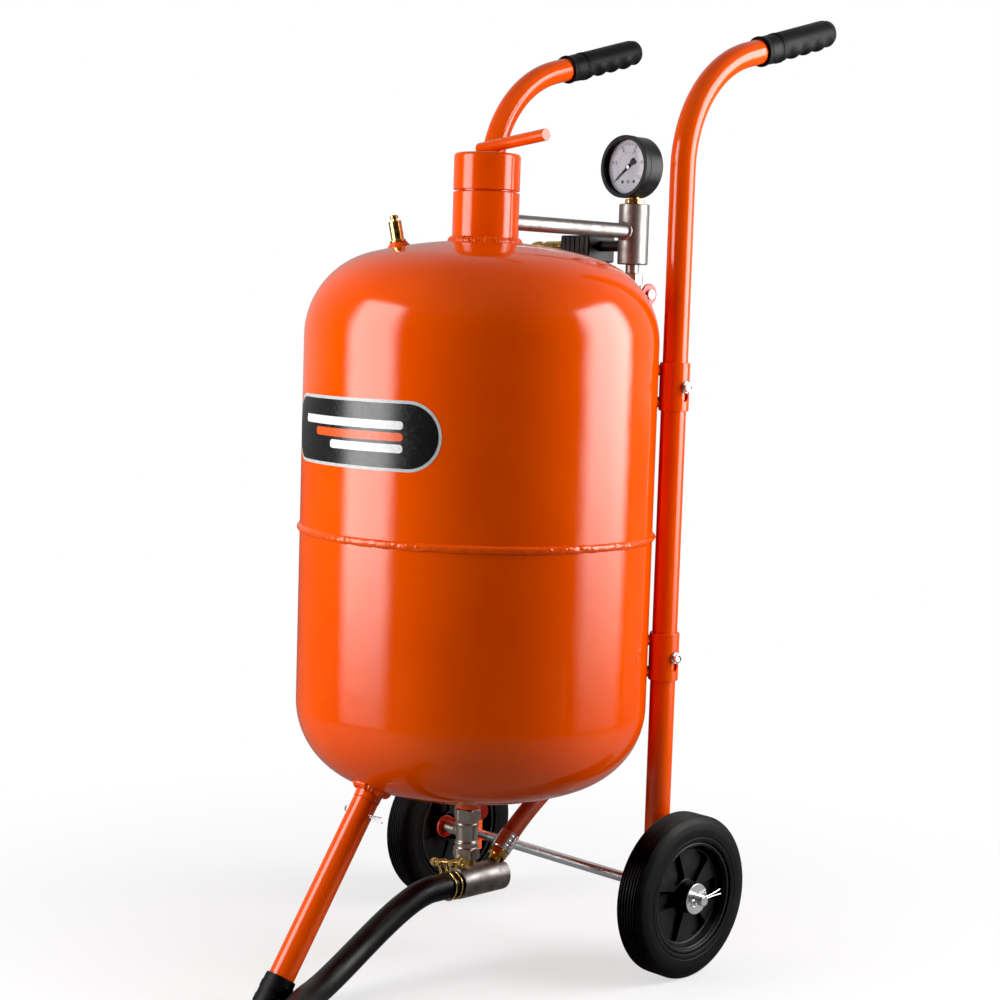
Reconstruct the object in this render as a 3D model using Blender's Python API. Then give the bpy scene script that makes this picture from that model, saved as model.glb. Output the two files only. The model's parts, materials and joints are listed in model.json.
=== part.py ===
"""Portable pressure blast pot: a 62 litre steel tank on a two-wheel hand truck.

Frame: +Z up, front of the tank towards -Y, wheels on X, floor at Z = 0.  The
origin is the middle of the front foot's flat sole.  Lengths are in metres.
"""
import math

import bmesh
import bpy
from mathutils import Matrix, Vector

# ---- driving dimensions ------------------------------------------------------
GAP = 0.0003                      # free space left between separate pieces

TANK_RADIUS = 0.1875
TANK_WALL = 0.0030
SEAM_Z = 0.4695                   # girth weld
UPPER_TANGENT_Z = 0.6713          # where the upper head leaves the cylinder
UPPER_KNUCKLE = 0.0917
UPPER_CROWN = 0.4680
LOWER_TANGENT_Z = 0.2863
LOWER_KNUCKLE = 0.0880
LOWER_CROWN = 0.3800
WELD_HEIGHT = 0.0090
WELD_STAND = 0.0032

LEG_REACH = 0.2695                # foot to tank axis, measured along Y
LEG_SLOPE = 0.6370                # forward travel of the leg per metre of height
LEG_TOP_Z = 0.2000
LEG_PIN_Z = 0.1840

NECK_RADIUS = 0.0350
NECK_TOP_Z = 0.8257
SPIGOT_RADIUS = 0.0275            # threaded part of the neck, inside the cap
SPIGOT_BORE = 0.0235
SPIGOT_TOP_Z = 0.8535
CAP_BOTTOM_Z = 0.8277
CAP_TOP_Z = 0.8660
CAP_BAR_RADIUS = 0.00625
CAP_BAR_START = -0.0135
CAP_BAR_END = 0.0850
CAP_BAR_RISE = math.radians(6.4)

TUBE_RADIUS = 0.01345             # 3/4 inch pipe, 26.9 mm
TUBE_WALL = 0.0020
TUBE_X = 0.1455
TUBE_Y = 0.1440                   # behind the tank axis
TUBE_BOTTOM_Z = 0.0680
BEND_START_Z = 0.8560
BEND_RADIUS = 0.1340
GRIP_SLOPE = math.radians(16.0)
GRIP_LENGTH = 0.1280
GRIP_RADIUS = 0.0156
GRIP_STRAIGHT = 0.0200            # bare tube between the bend and the grip

BRACKET_RADIUS = 0.0160
BRACKET_HEIGHT = 0.0510
BRACKET_UPPER_Z = 0.6285
BRACKET_LOWER_Z = 0.3405
BOLT_RADIUS = 0.0030
SLOT_LENGTH = 0.0110

AXLE_Z = 0.0880
AXLE_RADIUS = 0.0060
AXLE_END_X = 0.2165
WHEEL_X = 0.1837
WHEEL_RADIUS = 0.0875
TYRE_HALF_WIDTH = 0.0190
RIM_RADIUS = 0.0592
RIM_INNER = 0.0527
RIM_HALF_WIDTH = 0.0165
HUB_RADIUS = 0.0165
HUB_INSIDE = -0.0235
HUB_OUTSIDE = 0.0195
SPOKES = 6
POCKET_FLOOR = 0.0022           # closed skin left at the bottom of the wheel pockets
WASHER_RADIUS = 0.0165
WASHER_THICKNESS = 0.0020
COTTER_X = 0.2110

TEE_Y = 0.2310                    # air manifold axis behind the tank axis
TEE_RADIUS = 0.0172
TEE_BOTTOM_Z = 0.7600
TEE_TOP_Z = 0.8275
PIPE_Z = 0.7970
PIPE_RADIUS = 0.0086              # 3/8 inch pipe, 17.2 mm
PORT_RADIUS = 0.0070
THREAD_RADIUS = 0.0066

GAUGE_FRONT_Y = 0.2097
GAUGE_Z = 0.8686
GAUGE_RADIUS = 0.0350
GAUGE_DEPTH = 0.0300
POINTER_ZERO = math.radians(218.0)
POINTER_LENGTH = 0.0225

FILTER_X = -0.0710
FILTER_TOP_Z = 0.7925
FILTER_HALF = 0.0225
FILTER_PORT_Z = 0.7810
BOWL_RADIUS = 0.0190
BOWL_BOTTOM_Z = 0.6650

AIR_VALVE_TOP_Z = 0.7497
AIR_VALVE_LENGTH = 0.0460
SAND_VALVE_TOP_Z = 0.1670
SAND_VALVE_LENGTH = 0.0545

MIXER_RADIUS = 0.0171
MIXER_Z = 0.0870
MIXER_FRONT_Y = -0.0140
MIXER_REAR_Y = 0.0530
AIR_PORT_Y = 0.0245               # where the inclined air port meets the mixer axis
AIR_PORT_TILT = math.radians(45.0)

AIR_HOSE_RADIUS = 0.0100
AIR_HOSE_BORE = 0.0060
BLAST_HOSE_RADIUS = 0.0142
BLAST_HOSE_BORE = 0.0098
BLAST_HOSE_REST_Z = 0.0165

SAFETY_RADIAL = 0.0905            # safety valve distance from the tank axis
SAFETY_AZIMUTH = math.radians(226.0)

# ---- finishes: base colour, metallic, roughness ------------------------------
FINISHES = {
    "orange_paint": ((0.80, 0.13, 0.01), 0.0, 0.22),
    "machined_steel": ((0.46, 0.44, 0.42), 1.0, 0.34),
    "zinc": ((0.72, 0.73, 0.74), 1.0, 0.25),
    "nickel": ((0.60, 0.56, 0.51), 1.0, 0.30),
    "brass": ((0.72, 0.50, 0.18), 1.0, 0.28),
    "black_rubber": ((0.018, 0.018, 0.020), 0.0, 0.60),
    "black_plastic": ((0.020, 0.021, 0.022), 0.0, 0.42),
    "red_vinyl": ((0.60, 0.03, 0.02), 0.0, 0.40),
    "red_rubber": ((0.42, 0.06, 0.03), 0.0, 0.50),
    "dial_face": ((0.68, 0.69, 0.73), 0.0, 0.45),
    "clear_lens": ((0.90, 0.93, 0.94), 0.0, 0.05),
    "seal_rubber": ((0.050, 0.048, 0.045), 0.0, 0.70),
}


# ---- helpers -----------------------------------------------------------------
def finish(name):
    """Return the named material, making it on first use."""
    material = bpy.data.materials.get(name)
    if material:
        return material
    colour, metallic, roughness = FINISHES[name]
    material = bpy.data.materials.new(name)
    material.use_nodes = True
    shader = material.node_tree.nodes["Principled BSDF"]
    shader.inputs["Base Color"].default_value = (*colour, 1.0)
    shader.inputs["Metallic"].default_value = metallic
    shader.inputs["Roughness"].default_value = roughness
    return material


def own_finish(obj, name):
    """Give one piece its own copy of a finish."""
    material = finish(name).copy()
    material.name = obj.name + "_" + name
    obj.data.materials.clear()
    obj.data.materials.append(material)


def skin(name, rings, loop=False):
    """Make one closed body through rings that all have the same point count."""
    bm = bmesh.new()
    verts = [[bm.verts.new(point) for point in ring] for ring in rings]
    count = len(rings[0])
    last = len(rings) if loop else len(rings) - 1
    for i in range(last):
        here, there = verts[i], verts[(i + 1) % len(rings)]
        for k in range(count):
            n = (k + 1) % count
            bm.faces.new((here[k], here[n], there[n], there[k]))
    if not loop:
        bm.faces.new(verts[0])
        bm.faces.new(verts[-1])
    bmesh.ops.recalc_face_normals(bm, faces=bm.faces)
    mesh = bpy.data.meshes.new(name)
    bm.to_mesh(mesh)
    bm.free()
    if mesh_volume(mesh) < 0:
        mesh.flip_normals()
    obj = bpy.data.objects.new(name, mesh)
    bpy.context.scene.collection.objects.link(obj)
    return obj


def mesh_volume(mesh):
    """Signed volume; positive when the faces point outwards."""
    mesh.calc_loop_triangles()
    total = 0.0
    for tri in mesh.loop_triangles:
        a, b, c = (mesh.vertices[i].co for i in tri.vertices)
        total += a.dot(b.cross(c))
    return total / 6.0


def circle(radius, z, segments, turn=0.0):
    """Ring of points round local Z."""
    step = math.tau / segments
    return [Vector((radius * math.cos(turn + k * step), radius * math.sin(turn + k * step), z))
            for k in range(segments)]


def hexagon(flat_radius, z, segments=12):
    """Hexagon round local Z with extra points on its flats; radius is to the flat."""
    points = []
    for k in range(segments):
        angle = k * math.tau / segments
        off = (angle + math.pi / 6) % (math.pi / 3) - math.pi / 6
        reach = flat_radius / math.cos(math.pi / 6 - abs(off))
        points.append(Vector((reach * math.cos(angle), reach * math.sin(angle), z)))
    return points


def turned(name, profile, segments, loop=False):
    """Revolve (radius, z) pairs round local Z."""
    return skin(name, [circle(r, z, segments) for r, z in profile], loop)


def sweep_ring(centre, along, radius, segments, side=Vector((1, 0, 0))):
    """Circle of points round a path point."""
    tangent = along.normalized()
    first = (side - tangent * side.dot(tangent)).normalized()
    second = tangent.cross(first)
    step = math.tau / segments
    return [centre + radius * (math.cos(k * step) * first + math.sin(k * step) * second)
            for k in range(segments)]


def directions(path, ends=None):
    """Travel direction at each point of a path; ends fixes its first and last runs."""
    result = []
    for i in range(len(path)):
        ahead = path[min(i + 1, len(path) - 1)]
        behind = path[max(i - 1, 0)]
        result.append((ahead - behind).normalized())
    if ends:
        result[0] = result[1] = ends[0]
        result[-1] = result[-2] = ends[1]
    return result


def pipe_along(name, path, outer, inner, segments, ends=None, side=Vector((1, 0, 0))):
    """Hollow pipe, open at both ends, following a path."""
    along = directions(path, ends)
    outside = [sweep_ring(p, t, outer, segments, side) for p, t in zip(path, along)]
    inside = [sweep_ring(p, t, inner, segments, side) for p, t in zip(path, along)]
    return skin(name, outside + inside[::-1], loop=True)


def bezier(start, lead, tail, end, steps):
    """Points on a cubic curve, both ends included."""
    points = []
    for i in range(steps + 1):
        t = i / steps
        s = 1 - t
        points.append(s ** 3 * start + 3 * s * s * t * lead + 3 * s * t * t * tail + t ** 3 * end)
    return points


def box(name, low, high):
    """Rectangular block between two corners."""
    x0, y0, z0 = low
    x1, y1, z1 = high
    lower = [Vector((x0, y0, z0)), Vector((x1, y0, z0)), Vector((x1, y1, z0)), Vector((x0, y1, z0))]
    upper = [Vector((p.x, p.y, z1)) for p in lower]
    return skin(name, [lower, upper])


def rod(name, start, end, radius, segments=12):
    """Solid round bar between two points."""
    along = end - start
    side = Vector((1, 0, 0)) if abs(along.normalized().x) < 0.9 else Vector((0, 1, 0))
    return skin(name, [sweep_ring(start, along, radius, segments, side),
                       sweep_ring(end, along, radius, segments, side)])


def combine(obj, tool, operation):
    """Cut with, or merge in, another body and drop the tool."""
    modifier = obj.modifiers.new("combine", "BOOLEAN")
    modifier.object = tool
    modifier.operation = operation
    modifier.solver = "EXACT"
    graph = bpy.context.evaluated_depsgraph_get()
    graph.update()
    result = bpy.data.meshes.new_from_object(obj.evaluated_get(graph))
    obj.modifiers.clear()
    old = obj.data
    obj.data = result
    result.name = obj.name
    bpy.data.meshes.remove(old)
    bpy.data.objects.remove(tool)


def cut(obj, tool):
    combine(obj, tool, "DIFFERENCE")


def merge(obj, tool):
    combine(obj, tool, "UNION")


def place(obj, x, y, z, turn=None):
    """Stand a piece at a point given from the tank axis on the floor."""
    obj.location = (x, y + LEG_REACH, z)
    if turn:
        obj.rotation_euler = turn.to_euler()


# ---- tank --------------------------------------------------------------------
def crown_centre_z(tangent_z, knuckle, crown, sense):
    """Height of the centre of a dished head's crown sphere."""
    slack = crown - knuckle
    return tangent_z - sense * math.sqrt(slack ** 2 - (TANK_RADIUS - knuckle) ** 2)


def head_profile(tangent_z, knuckle, crown, sense, inset, hole):
    """(radius, z) pairs of a dished head from the cylinder in to a centre hole."""
    corner = TANK_RADIUS - knuckle
    meet = math.asin(corner / (crown - knuckle))
    centre_z = crown_centre_z(tangent_z, knuckle, crown, sense)
    points = []
    for i in range(5):
        angle = (math.pi / 2 - meet) * i / 4
        reach = knuckle - inset
        points.append((corner + reach * math.cos(angle), tangent_z + sense * reach * math.sin(angle)))
    reach = crown - inset
    last = math.asin(hole / reach)
    for i in range(1, 4):
        angle = meet + (last - meet) * i / 3
        points.append((reach * math.sin(angle), centre_z + sense * reach * math.cos(angle)))
    return points


def dome_height(radius):
    """Outside height of the upper head's crown at a radius."""
    centre_z = crown_centre_z(UPPER_TANGENT_Z, UPPER_KNUCKLE, UPPER_CROWN, 1)
    return centre_z + math.sqrt(UPPER_CROWN ** 2 - radius ** 2)


def safety_matrix():
    """Frame of the safety valve: on the dome, Z along the dome's normal."""
    tilt = math.asin(SAFETY_RADIAL / UPPER_CROWN)
    spot = Vector((SAFETY_RADIAL * math.cos(SAFETY_AZIMUTH),
                   SAFETY_RADIAL * math.sin(SAFETY_AZIMUTH), dome_height(SAFETY_RADIAL)))
    turn = Matrix.Rotation(SAFETY_AZIMUTH, 4, "Z") @ Matrix.Rotation(tilt, 4, "Y")
    return Matrix.Translation(spot) @ turn


def put_on_dome(obj):
    """Stand a piece on the safety valve seat."""
    obj.matrix_world = Matrix.Translation((0, LEG_REACH, 0)) @ safety_matrix()


def upper_shell():
    outer = head_profile(UPPER_TANGENT_Z, UPPER_KNUCKLE, UPPER_CROWN, 1, 0.0, NECK_RADIUS + GAP)
    inner = head_profile(UPPER_TANGENT_Z, UPPER_KNUCKLE, UPPER_CROWN, 1, TANK_WALL, NECK_RADIUS + GAP)
    foot = SEAM_Z + GAP / 2
    profile = [(TANK_RADIUS, foot)] + outer + inner[::-1] + [(TANK_RADIUS - TANK_WALL, foot)]
    shell = turned("upper_shell", profile, 36, loop=True)
    seat = safety_matrix()
    down, up = seat @ Vector((0, 0, -0.012)), seat @ Vector((0, 0, 0.008))
    cut(shell, rod("seat_cutter", down, up, THREAD_RADIUS + GAP))
    own_finish(shell, "orange_paint")
    place(shell, 0, 0, 0)


def lower_shell():
    collar_outer, collar_inner = 0.0135, 0.0106
    collar_end = SAND_VALVE_TOP_Z + 0.0008
    outer = head_profile(LOWER_TANGENT_Z, LOWER_KNUCKLE, LOWER_CROWN, -1, 0.0, collar_outer)
    inner = head_profile(LOWER_TANGENT_Z, LOWER_KNUCKLE, LOWER_CROWN, -1, TANK_WALL, collar_inner)
    top = SEAM_Z - GAP / 2
    profile = [(TANK_RADIUS, top)] + outer + [(collar_outer, collar_end), (collar_inner, collar_end)]
    profile += inner[::-1] + [(TANK_RADIUS - TANK_WALL, top)]
    shell = turned("lower_shell", profile, 36, loop=True)
    own_finish(shell, "orange_paint")
    place(shell, 0, 0, 0)


def girth_weld():
    inner = TANK_RADIUS + GAP
    half = WELD_HEIGHT / 2
    profile = [(inner, -half), (inner + 0.7 * WELD_STAND, -0.62 * half), (inner + WELD_STAND, 0),
               (inner + 0.7 * WELD_STAND, 0.62 * half), (inner, half)]
    weld = turned("girth_weld", profile, 36, loop=True)
    own_finish(weld, "orange_paint")
    place(weld, 0, 0, SEAM_Z)


def filler_neck():
    dome = dome_height(NECK_RADIUS)
    bore = NECK_RADIUS - 0.0040
    profile = [(NECK_RADIUS, dome - 0.006), (NECK_RADIUS, dome + 0.0006),
               (NECK_RADIUS + 0.0035, dome + 0.0006), (NECK_RADIUS + 0.0025, dome + 0.0035),
               (NECK_RADIUS, dome + 0.0060),
               (NECK_RADIUS, NECK_TOP_Z - 0.001), (NECK_RADIUS - 0.001, NECK_TOP_Z),
               (SPIGOT_RADIUS, NECK_TOP_Z), (SPIGOT_RADIUS, SPIGOT_TOP_Z - 0.001),
               (SPIGOT_RADIUS - 0.001, SPIGOT_TOP_Z), (SPIGOT_BORE, SPIGOT_TOP_Z),
               (SPIGOT_BORE, NECK_TOP_Z - 0.004), (bore, NECK_TOP_Z - 0.010), (bore, dome - 0.006)]
    neck = turned("filler_neck", profile, 28, loop=True)
    start, end = Vector((0, bore - 0.010, PIPE_Z)), Vector((0, NECK_RADIUS + 0.010, PIPE_Z))
    cut(neck, rod("pipe_cutter", start, end, PIPE_RADIUS + GAP, 14))
    own_finish(neck, "orange_paint")
    place(neck, 0, 0, 0)


def filler_cap():
    """Screw cap with its one-sided bar welded on; origin on the thread axis."""
    bore = SPIGOT_RADIUS + 0.0004
    ceiling = SPIGOT_TOP_Z + 0.0046
    profile = [(bore, ceiling), (bore, CAP_BOTTOM_Z), (NECK_RADIUS - 0.0008, CAP_BOTTOM_Z),
               (NECK_RADIUS, CAP_BOTTOM_Z + 0.0008), (NECK_RADIUS, CAP_TOP_Z - 0.0030),
               (NECK_RADIUS - 0.0009, CAP_TOP_Z - 0.0009), (NECK_RADIUS - 0.0030, CAP_TOP_Z)]
    cap = turned("filler_cap", [(r, z - CAP_BOTTOM_Z) for r, z in profile], 28)
    rise = math.tan(CAP_BAR_RISE)
    low = CAP_TOP_Z - CAP_BOTTOM_Z + CAP_BAR_RADIUS + 0.0006
    start = Vector((CAP_BAR_START, 0, low))
    end = Vector((CAP_BAR_END, 0, low + (CAP_BAR_END - CAP_BAR_START) * rise))
    along = (end - start).normalized()
    side = Vector((0, 1, 0))
    rings = [sweep_ring(start, along, 0.7 * CAP_BAR_RADIUS, 14, side),
             sweep_ring(start + 0.0015 * along, along, CAP_BAR_RADIUS, 14, side),
             sweep_ring(end - 0.0008 * along, along, CAP_BAR_RADIUS, 14, side),
             sweep_ring(end, along, CAP_BAR_RADIUS - 0.0008, 14, side)]
    bar = skin("bar", rings)
    top = CAP_TOP_Z - CAP_BOTTOM_Z
    merge(bar, box("pad", (CAP_BAR_START + 0.003, -0.0040, top - 0.001), (0.0190, 0.0040, top + 0.0050)))
    merge(cap, bar)
    own_finish(cap, "orange_paint")
    place(cap, 0, 0, CAP_BOTTOM_Z)


def cap_seal():
    low, high = SPIGOT_TOP_Z + GAP, SPIGOT_TOP_Z + 0.0043
    profile = [(SPIGOT_BORE, low), (SPIGOT_RADIUS, low), (SPIGOT_RADIUS, high), (SPIGOT_BORE, high)]
    seal = turned("cap_seal", [(r, z - low) for r, z in profile], 24, loop=True)
    own_finish(seal, "seal_rubber")
    place(seal, 0, 0, low)


def safety_boss():
    inner = THREAD_RADIUS + GAP
    profile = [(inner, 0.0006), (0.0108, 0.0006), (0.0100, 0.0030), (0.0085, 0.0045), (inner, 0.0045)]
    boss = turned("safety_boss", profile, 16, loop=True)
    own_finish(boss, "orange_paint")
    put_on_dome(boss)


def safety_valve():
    """Spring relief valve: body and the pull stem that slides in it."""
    rings = [circle(0.0060, -0.0060, 12), circle(0.0060, 0.0048, 12), hexagon(0.0085, 0.0048),
             hexagon(0.0085, 0.0095), circle(0.0070, 0.0100, 12), circle(0.0070, 0.0235, 12),
             circle(0.0055, 0.0250, 12), circle(0.0055, 0.0290, 12), circle(0.0032, 0.0290, 12),
             circle(0.0032, 0.0040, 12), circle(0.0022, 0.0040, 12), circle(0.0022, -0.0060, 12)]
    body = skin("safety_valve_body", rings, loop=True)
    cut(body, rod("vent_cutter", Vector((-0.012, 0, 0.0165)), Vector((0.012, 0, 0.0165)), 0.0016, 8))
    own_finish(body, "brass")
    put_on_dome(body)
    profile = [(0.0028, 0.0045), (0.0028, 0.0293), (0.0046, 0.0294), (0.0046, 0.0325), (0.0038, 0.0335)]
    stem = turned("safety_valve_stem", profile, 12)
    own_finish(stem, "brass")
    put_on_dome(stem)


# ---- hand truck --------------------------------------------------------------
def handle_path(end_short=0.0):
    """Centre line of one handle tube in its own upright plane."""
    turn = math.pi / 2 - GRIP_SLOPE
    path = [Vector((0, TUBE_Y, TUBE_BOTTOM_Z)), Vector((0, TUBE_Y, BEND_START_Z))]
    for i in range(1, 8):
        angle = turn * i / 7
        path.append(Vector((0, TUBE_Y + BEND_RADIUS * (1 - math.cos(angle)),
                            BEND_START_Z + BEND_RADIUS * math.sin(angle))))
    slope = Vector((0, math.cos(GRIP_SLOPE), math.sin(GRIP_SLOPE)))
    path.append(path[-1] + slope * (GRIP_STRAIGHT + GRIP_LENGTH - end_short))
    return path


def handle_tube(side, name):
    path = handle_path(end_short=0.0050)
    ends = (Vector((0, 0, 1)), (path[-1] - path[-2]).normalized())
    tube = pipe_along(name, path, TUBE_RADIUS, TUBE_RADIUS - TUBE_WALL, 14, ends)
    reach = TUBE_RADIUS + 0.010
    for height in (BRACKET_LOWER_Z, BRACKET_UPPER_Z):
        start, end = Vector((0, TUBE_Y, height)), Vector((side * reach, TUBE_Y, height))
        cut(tube, rod("bolt_cutter", start, end, BOLT_RADIUS + GAP, 10))
    start, end = Vector((-reach, TUBE_Y, AXLE_Z)), Vector((reach, TUBE_Y, AXLE_Z))
    cut(tube, rod("axle_cutter", start, end, AXLE_RADIUS + GAP, 12))
    own_finish(tube, "orange_paint")
    place(tube, side * TUBE_X, 0, 0)


def grip(side, name):
    """Moulded sleeve, closed at the rear, with a collar and four finger waves."""
    start = handle_path(end_short=GRIP_LENGTH)[-1]
    bore = TUBE_RADIUS + GAP
    depth = GRIP_LENGTH - 0.0045
    stations = [(0.0, 0.0014, 0.0), (0.0055, 0.0014, 0.0), (0.0075, 0.0, 0.0)]
    stations += [(0.0200 + 0.0245 * i / 2, 0.0, 1.0 if i % 2 else 0.0) for i in range(8)]
    stations += [(GRIP_LENGTH - 0.006, 0.0006, 0.0), (GRIP_LENGTH, -0.0030, 0.0)]
    rings = []
    for s, swell, wave in stations:
        ring = []
        for point in circle(GRIP_RADIUS + swell, s, 14):
            under = max(0.0, point.y / GRIP_RADIUS)
            shrink = 1.0 - 0.055 * wave * under
            ring.append(Vector((point.x * shrink, point.y * shrink, s)))
        rings.append(ring)
    rings = [circle(bore, depth, 14), circle(bore, 0.0, 14)] + rings
    sleeve = skin(name, rings)
    own_finish(sleeve, "black_rubber")
    turn = Matrix.Rotation(GRIP_SLOPE - math.pi / 2, 3, "X")
    place(sleeve, side * TUBE_X, start.y, start.z, turn)


def tube_bracket(side, height, name):
    """Sleeve round the handle tube with two weld tabs reaching to the tank."""
    bore = TUBE_RADIUS + GAP
    half = BRACKET_HEIGHT / 2
    profile = [(bore, -half), (BRACKET_RADIUS - 0.0006, -half), (BRACKET_RADIUS, -half + 0.0006),
               (BRACKET_RADIUS, half - 0.0006), (BRACKET_RADIUS - 0.0006, half), (bore, half)]
    sleeve = turned(name, profile, 18, loop=True)
    inward = Vector((-side * TUBE_X, -TUBE_Y, 0))
    reach = inward.length - TANK_RADIUS - 0.0006
    inward.normalize()
    across = Vector((-inward.y, inward.x, 0))
    for z in (-half + 0.0085, half - 0.0085):
        ring = []
        for along, wide in ((bore + 0.001, -0.009), (reach, -0.009), (reach, 0.009), (bore + 0.001, 0.009)):
            ring.append(inward * along + across * wide)
        tab = skin("tab", [[p + Vector((0, 0, z - 0.0035)) for p in ring],
                           [p + Vector((0, 0, z + 0.0035)) for p in ring]])
        merge(sleeve, tab)
    hole = rod("bore_cutter", Vector((0, 0, -0.05)), Vector((0, 0, 0.05)), bore, 18)
    cut(sleeve, hole)
    radius = BOLT_RADIUS + GAP
    slot = []
    for x in (bore - 0.003, BRACKET_RADIUS + 0.006):
        ring = []
        for k in range(12):
            angle = math.tau * (k + 0.5) / 12
            drop = 0.0 if math.sin(angle) > 0 else SLOT_LENGTH
            wide = radius if math.sin(angle) > 0 else radius + 0.0012
            ring.append(Vector((side * x, wide * math.cos(angle), wide * math.sin(angle) - drop)))
        slot.append(ring)
    cut(sleeve, skin("slot_cutter", slot))
    own_finish(sleeve, "orange_paint")
    place(sleeve, side * TUBE_X, TUBE_Y, height)


def bracket_bolt(side, height, name):
    """Flanged hex screw through the keyhole into the tube; local Z points outwards."""
    inner = TUBE_RADIUS - TUBE_WALL - 0.004
    face = BRACKET_RADIUS + GAP
    rings = [circle(BOLT_RADIUS, inner, 12), circle(BOLT_RADIUS, face, 12),
             circle(0.0064, face, 12), circle(0.0060, face + 0.0012, 12),
             hexagon(0.0046, face + 0.0013), hexagon(0.0046, face + 0.0046),
             circle(0.0040, face + 0.0052, 12)]
    bolt = skin(name, rings)
    own_finish(bolt, "zinc")
    place(bolt, side * TUBE_X, TUBE_Y, height, Matrix.Rotation(side * math.pi / 2, 3, "Y"))


def axle():
    ends = Vector((AXLE_END_X, 0, 0))
    chamfer = Vector((0.0010, 0, 0))
    side = Vector((0, 1, 0))
    along = Vector((1, 0, 0))
    rings = [sweep_ring(-ends, along, AXLE_RADIUS - 0.001, 14, side),
             sweep_ring(-ends + chamfer, along, AXLE_RADIUS, 14, side),
             sweep_ring(ends - chamfer, along, AXLE_RADIUS, 14, side),
             sweep_ring(ends, along, AXLE_RADIUS - 0.001, 14, side)]
    bar = skin("axle", rings)
    for x in (-COTTER_X, COTTER_X):
        cut(bar, rod("pin_cutter", Vector((x, -0.01, 0)), Vector((x, 0.01, 0)), 0.0024, 8))
    own_finish(bar, "zinc")
    place(bar, 0, TUBE_Y, AXLE_Z)


def axle_washer(side, name):
    start = HUB_OUTSIDE + GAP
    bore = AXLE_RADIUS + GAP
    profile = [(bore, start), (WASHER_RADIUS - 0.0004, start), (WASHER_RADIUS, start + 0.0004),
               (WASHER_RADIUS, start + WASHER_THICKNESS - 0.0004),
               (WASHER_RADIUS - 0.0004, start + WASHER_THICKNESS), (bore, start + WASHER_THICKNESS)]
    washer = turned(name, profile, 18, loop=True)
    own_finish(washer, "zinc")
    place(washer, side * WHEEL_X, TUBE_Y, AXLE_Z, Matrix.Rotation(side * math.pi / 2, 3, "Y"))


def cotter(name, grip_half, reach_back):
    """Bent split pin: an eye in front, two sprung prongs behind; local Z is its run.
    The wires stay together over the gripped length."""
    wire, eye, apart = 0.0009, 0.0036, 0.00105
    eye_z = -grip_half - 0.0045
    path = [Vector((0.0030, 0, reach_back)), Vector((apart, 0, grip_half)),
            Vector((apart, 0, -grip_half))]
    for i in range(7):
        angle = math.radians(50 + 260 * i / 6)
        path.append(Vector((eye * math.sin(angle), 0, eye_z + eye * math.cos(angle))))
    path += [Vector((-apart, 0, -grip_half)), Vector((-apart, 0, grip_half)),
             Vector((-0.0022, 0, reach_back))]
    rings = [sweep_ring(p, t, wire, 6, Vector((0, 1, 0))) for p, t in zip(path, directions(path))]
    pin = skin(name, rings)
    own_finish(pin, "zinc")
    return pin


def axle_cotter(side, name):
    pin = cotter(name, 0.0075, 0.0320)
    turn = Matrix.Rotation(math.radians(8), 3, "X") @ Matrix.Rotation(-math.pi / 2, 3, "X")
    place(pin, side * COTTER_X, TUBE_Y, AXLE_Z, turn)


def wheel_hub(side, name):
    """Moulded wheel centre; local Z points outwards along the axle."""
    bore = AXLE_RADIUS + 0.0005
    web = 0.0030
    inside, outside = HUB_INSIDE, HUB_OUTSIDE
    profile = [(bore, inside), (HUB_RADIUS - 0.002, inside), (HUB_RADIUS - 0.001, -web), (RIM_INNER, -web),
               (RIM_INNER + 0.0025, -RIM_HALF_WIDTH), (RIM_RADIUS, -RIM_HALF_WIDTH),
               (RIM_RADIUS, RIM_HALF_WIDTH), (RIM_INNER + 0.0030, RIM_HALF_WIDTH),
               (RIM_INNER - 0.0010, web + 0.003), (HUB_RADIUS, web + 0.003),
               (HUB_RADIUS - 0.0010, outside), (bore, outside)]
    hub = turned(name, profile, 30, loop=True)
    pocket_inner, pocket_outer = HUB_RADIUS + 0.0045, RIM_INNER - 0.0045
    for k in range(SPOKES):
        middle = math.tau * k / SPOKES
        half_in, half_out = math.radians(21), math.radians(13)
        ring = []
        for radius, offset in ((pocket_inner, -half_in), (pocket_outer, -half_out),
                               (pocket_outer + 0.0012, 0.0), (pocket_outer, half_out),
                               (pocket_inner, half_in)):
            angle = middle + offset
            ring.append(Vector((radius * math.cos(angle), radius * math.sin(angle), 0)))
        for low, high in ((-0.02, -POCKET_FLOOR / 2), (POCKET_FLOOR / 2, 0.02)):
            cut(hub, skin("pocket_cutter", [[p + Vector((0, 0, low)) for p in ring],
                                            [p + Vector((0, 0, high)) for p in ring]]))
    own_finish(hub, "black_plastic")
    place(hub, side * WHEEL_X, TUBE_Y, AXLE_Z, Matrix.Rotation(side * math.pi / 2, 3, "Y"))


def tyre(side, name):
    """Solid rubber tyre with two tread grooves; local Z along the axle."""
    seat = RIM_RADIUS + GAP
    half = []
    half.append((seat, RIM_HALF_WIDTH))
    half.append((seat + 0.0060, TYRE_HALF_WIDTH - 0.0005))
    half.append((WHEEL_RADIUS - 0.0110, TYRE_HALF_WIDTH))
    half.append((WHEEL_RADIUS - 0.0035, TYRE_HALF_WIDTH - 0.0022))
    half.append((WHEEL_RADIUS - 0.0004, TYRE_HALF_WIDTH - 0.0065))
    half.append((WHEEL_RADIUS, 0.0080))
    half.append((WHEEL_RADIUS - 0.0016, 0.0066))
    half.append((WHEEL_RADIUS, 0.0052))
    profile = half + [(r, -z) for r, z in half[::-1]]
    ring = turned(name, profile, 30, loop=True)
    own_finish(ring, "black_rubber")
    place(ring, side * WHEEL_X, TUBE_Y, AXLE_Z, Matrix.Rotation(side * math.pi / 2, 3, "Y"))


# ---- front leg ---------------------------------------------------------------
def leg_point(z):
    """Point on the leg axis at a height, from the tank axis."""
    return Vector((0, LEG_SLOPE * z - LEG_REACH, z))


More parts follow.
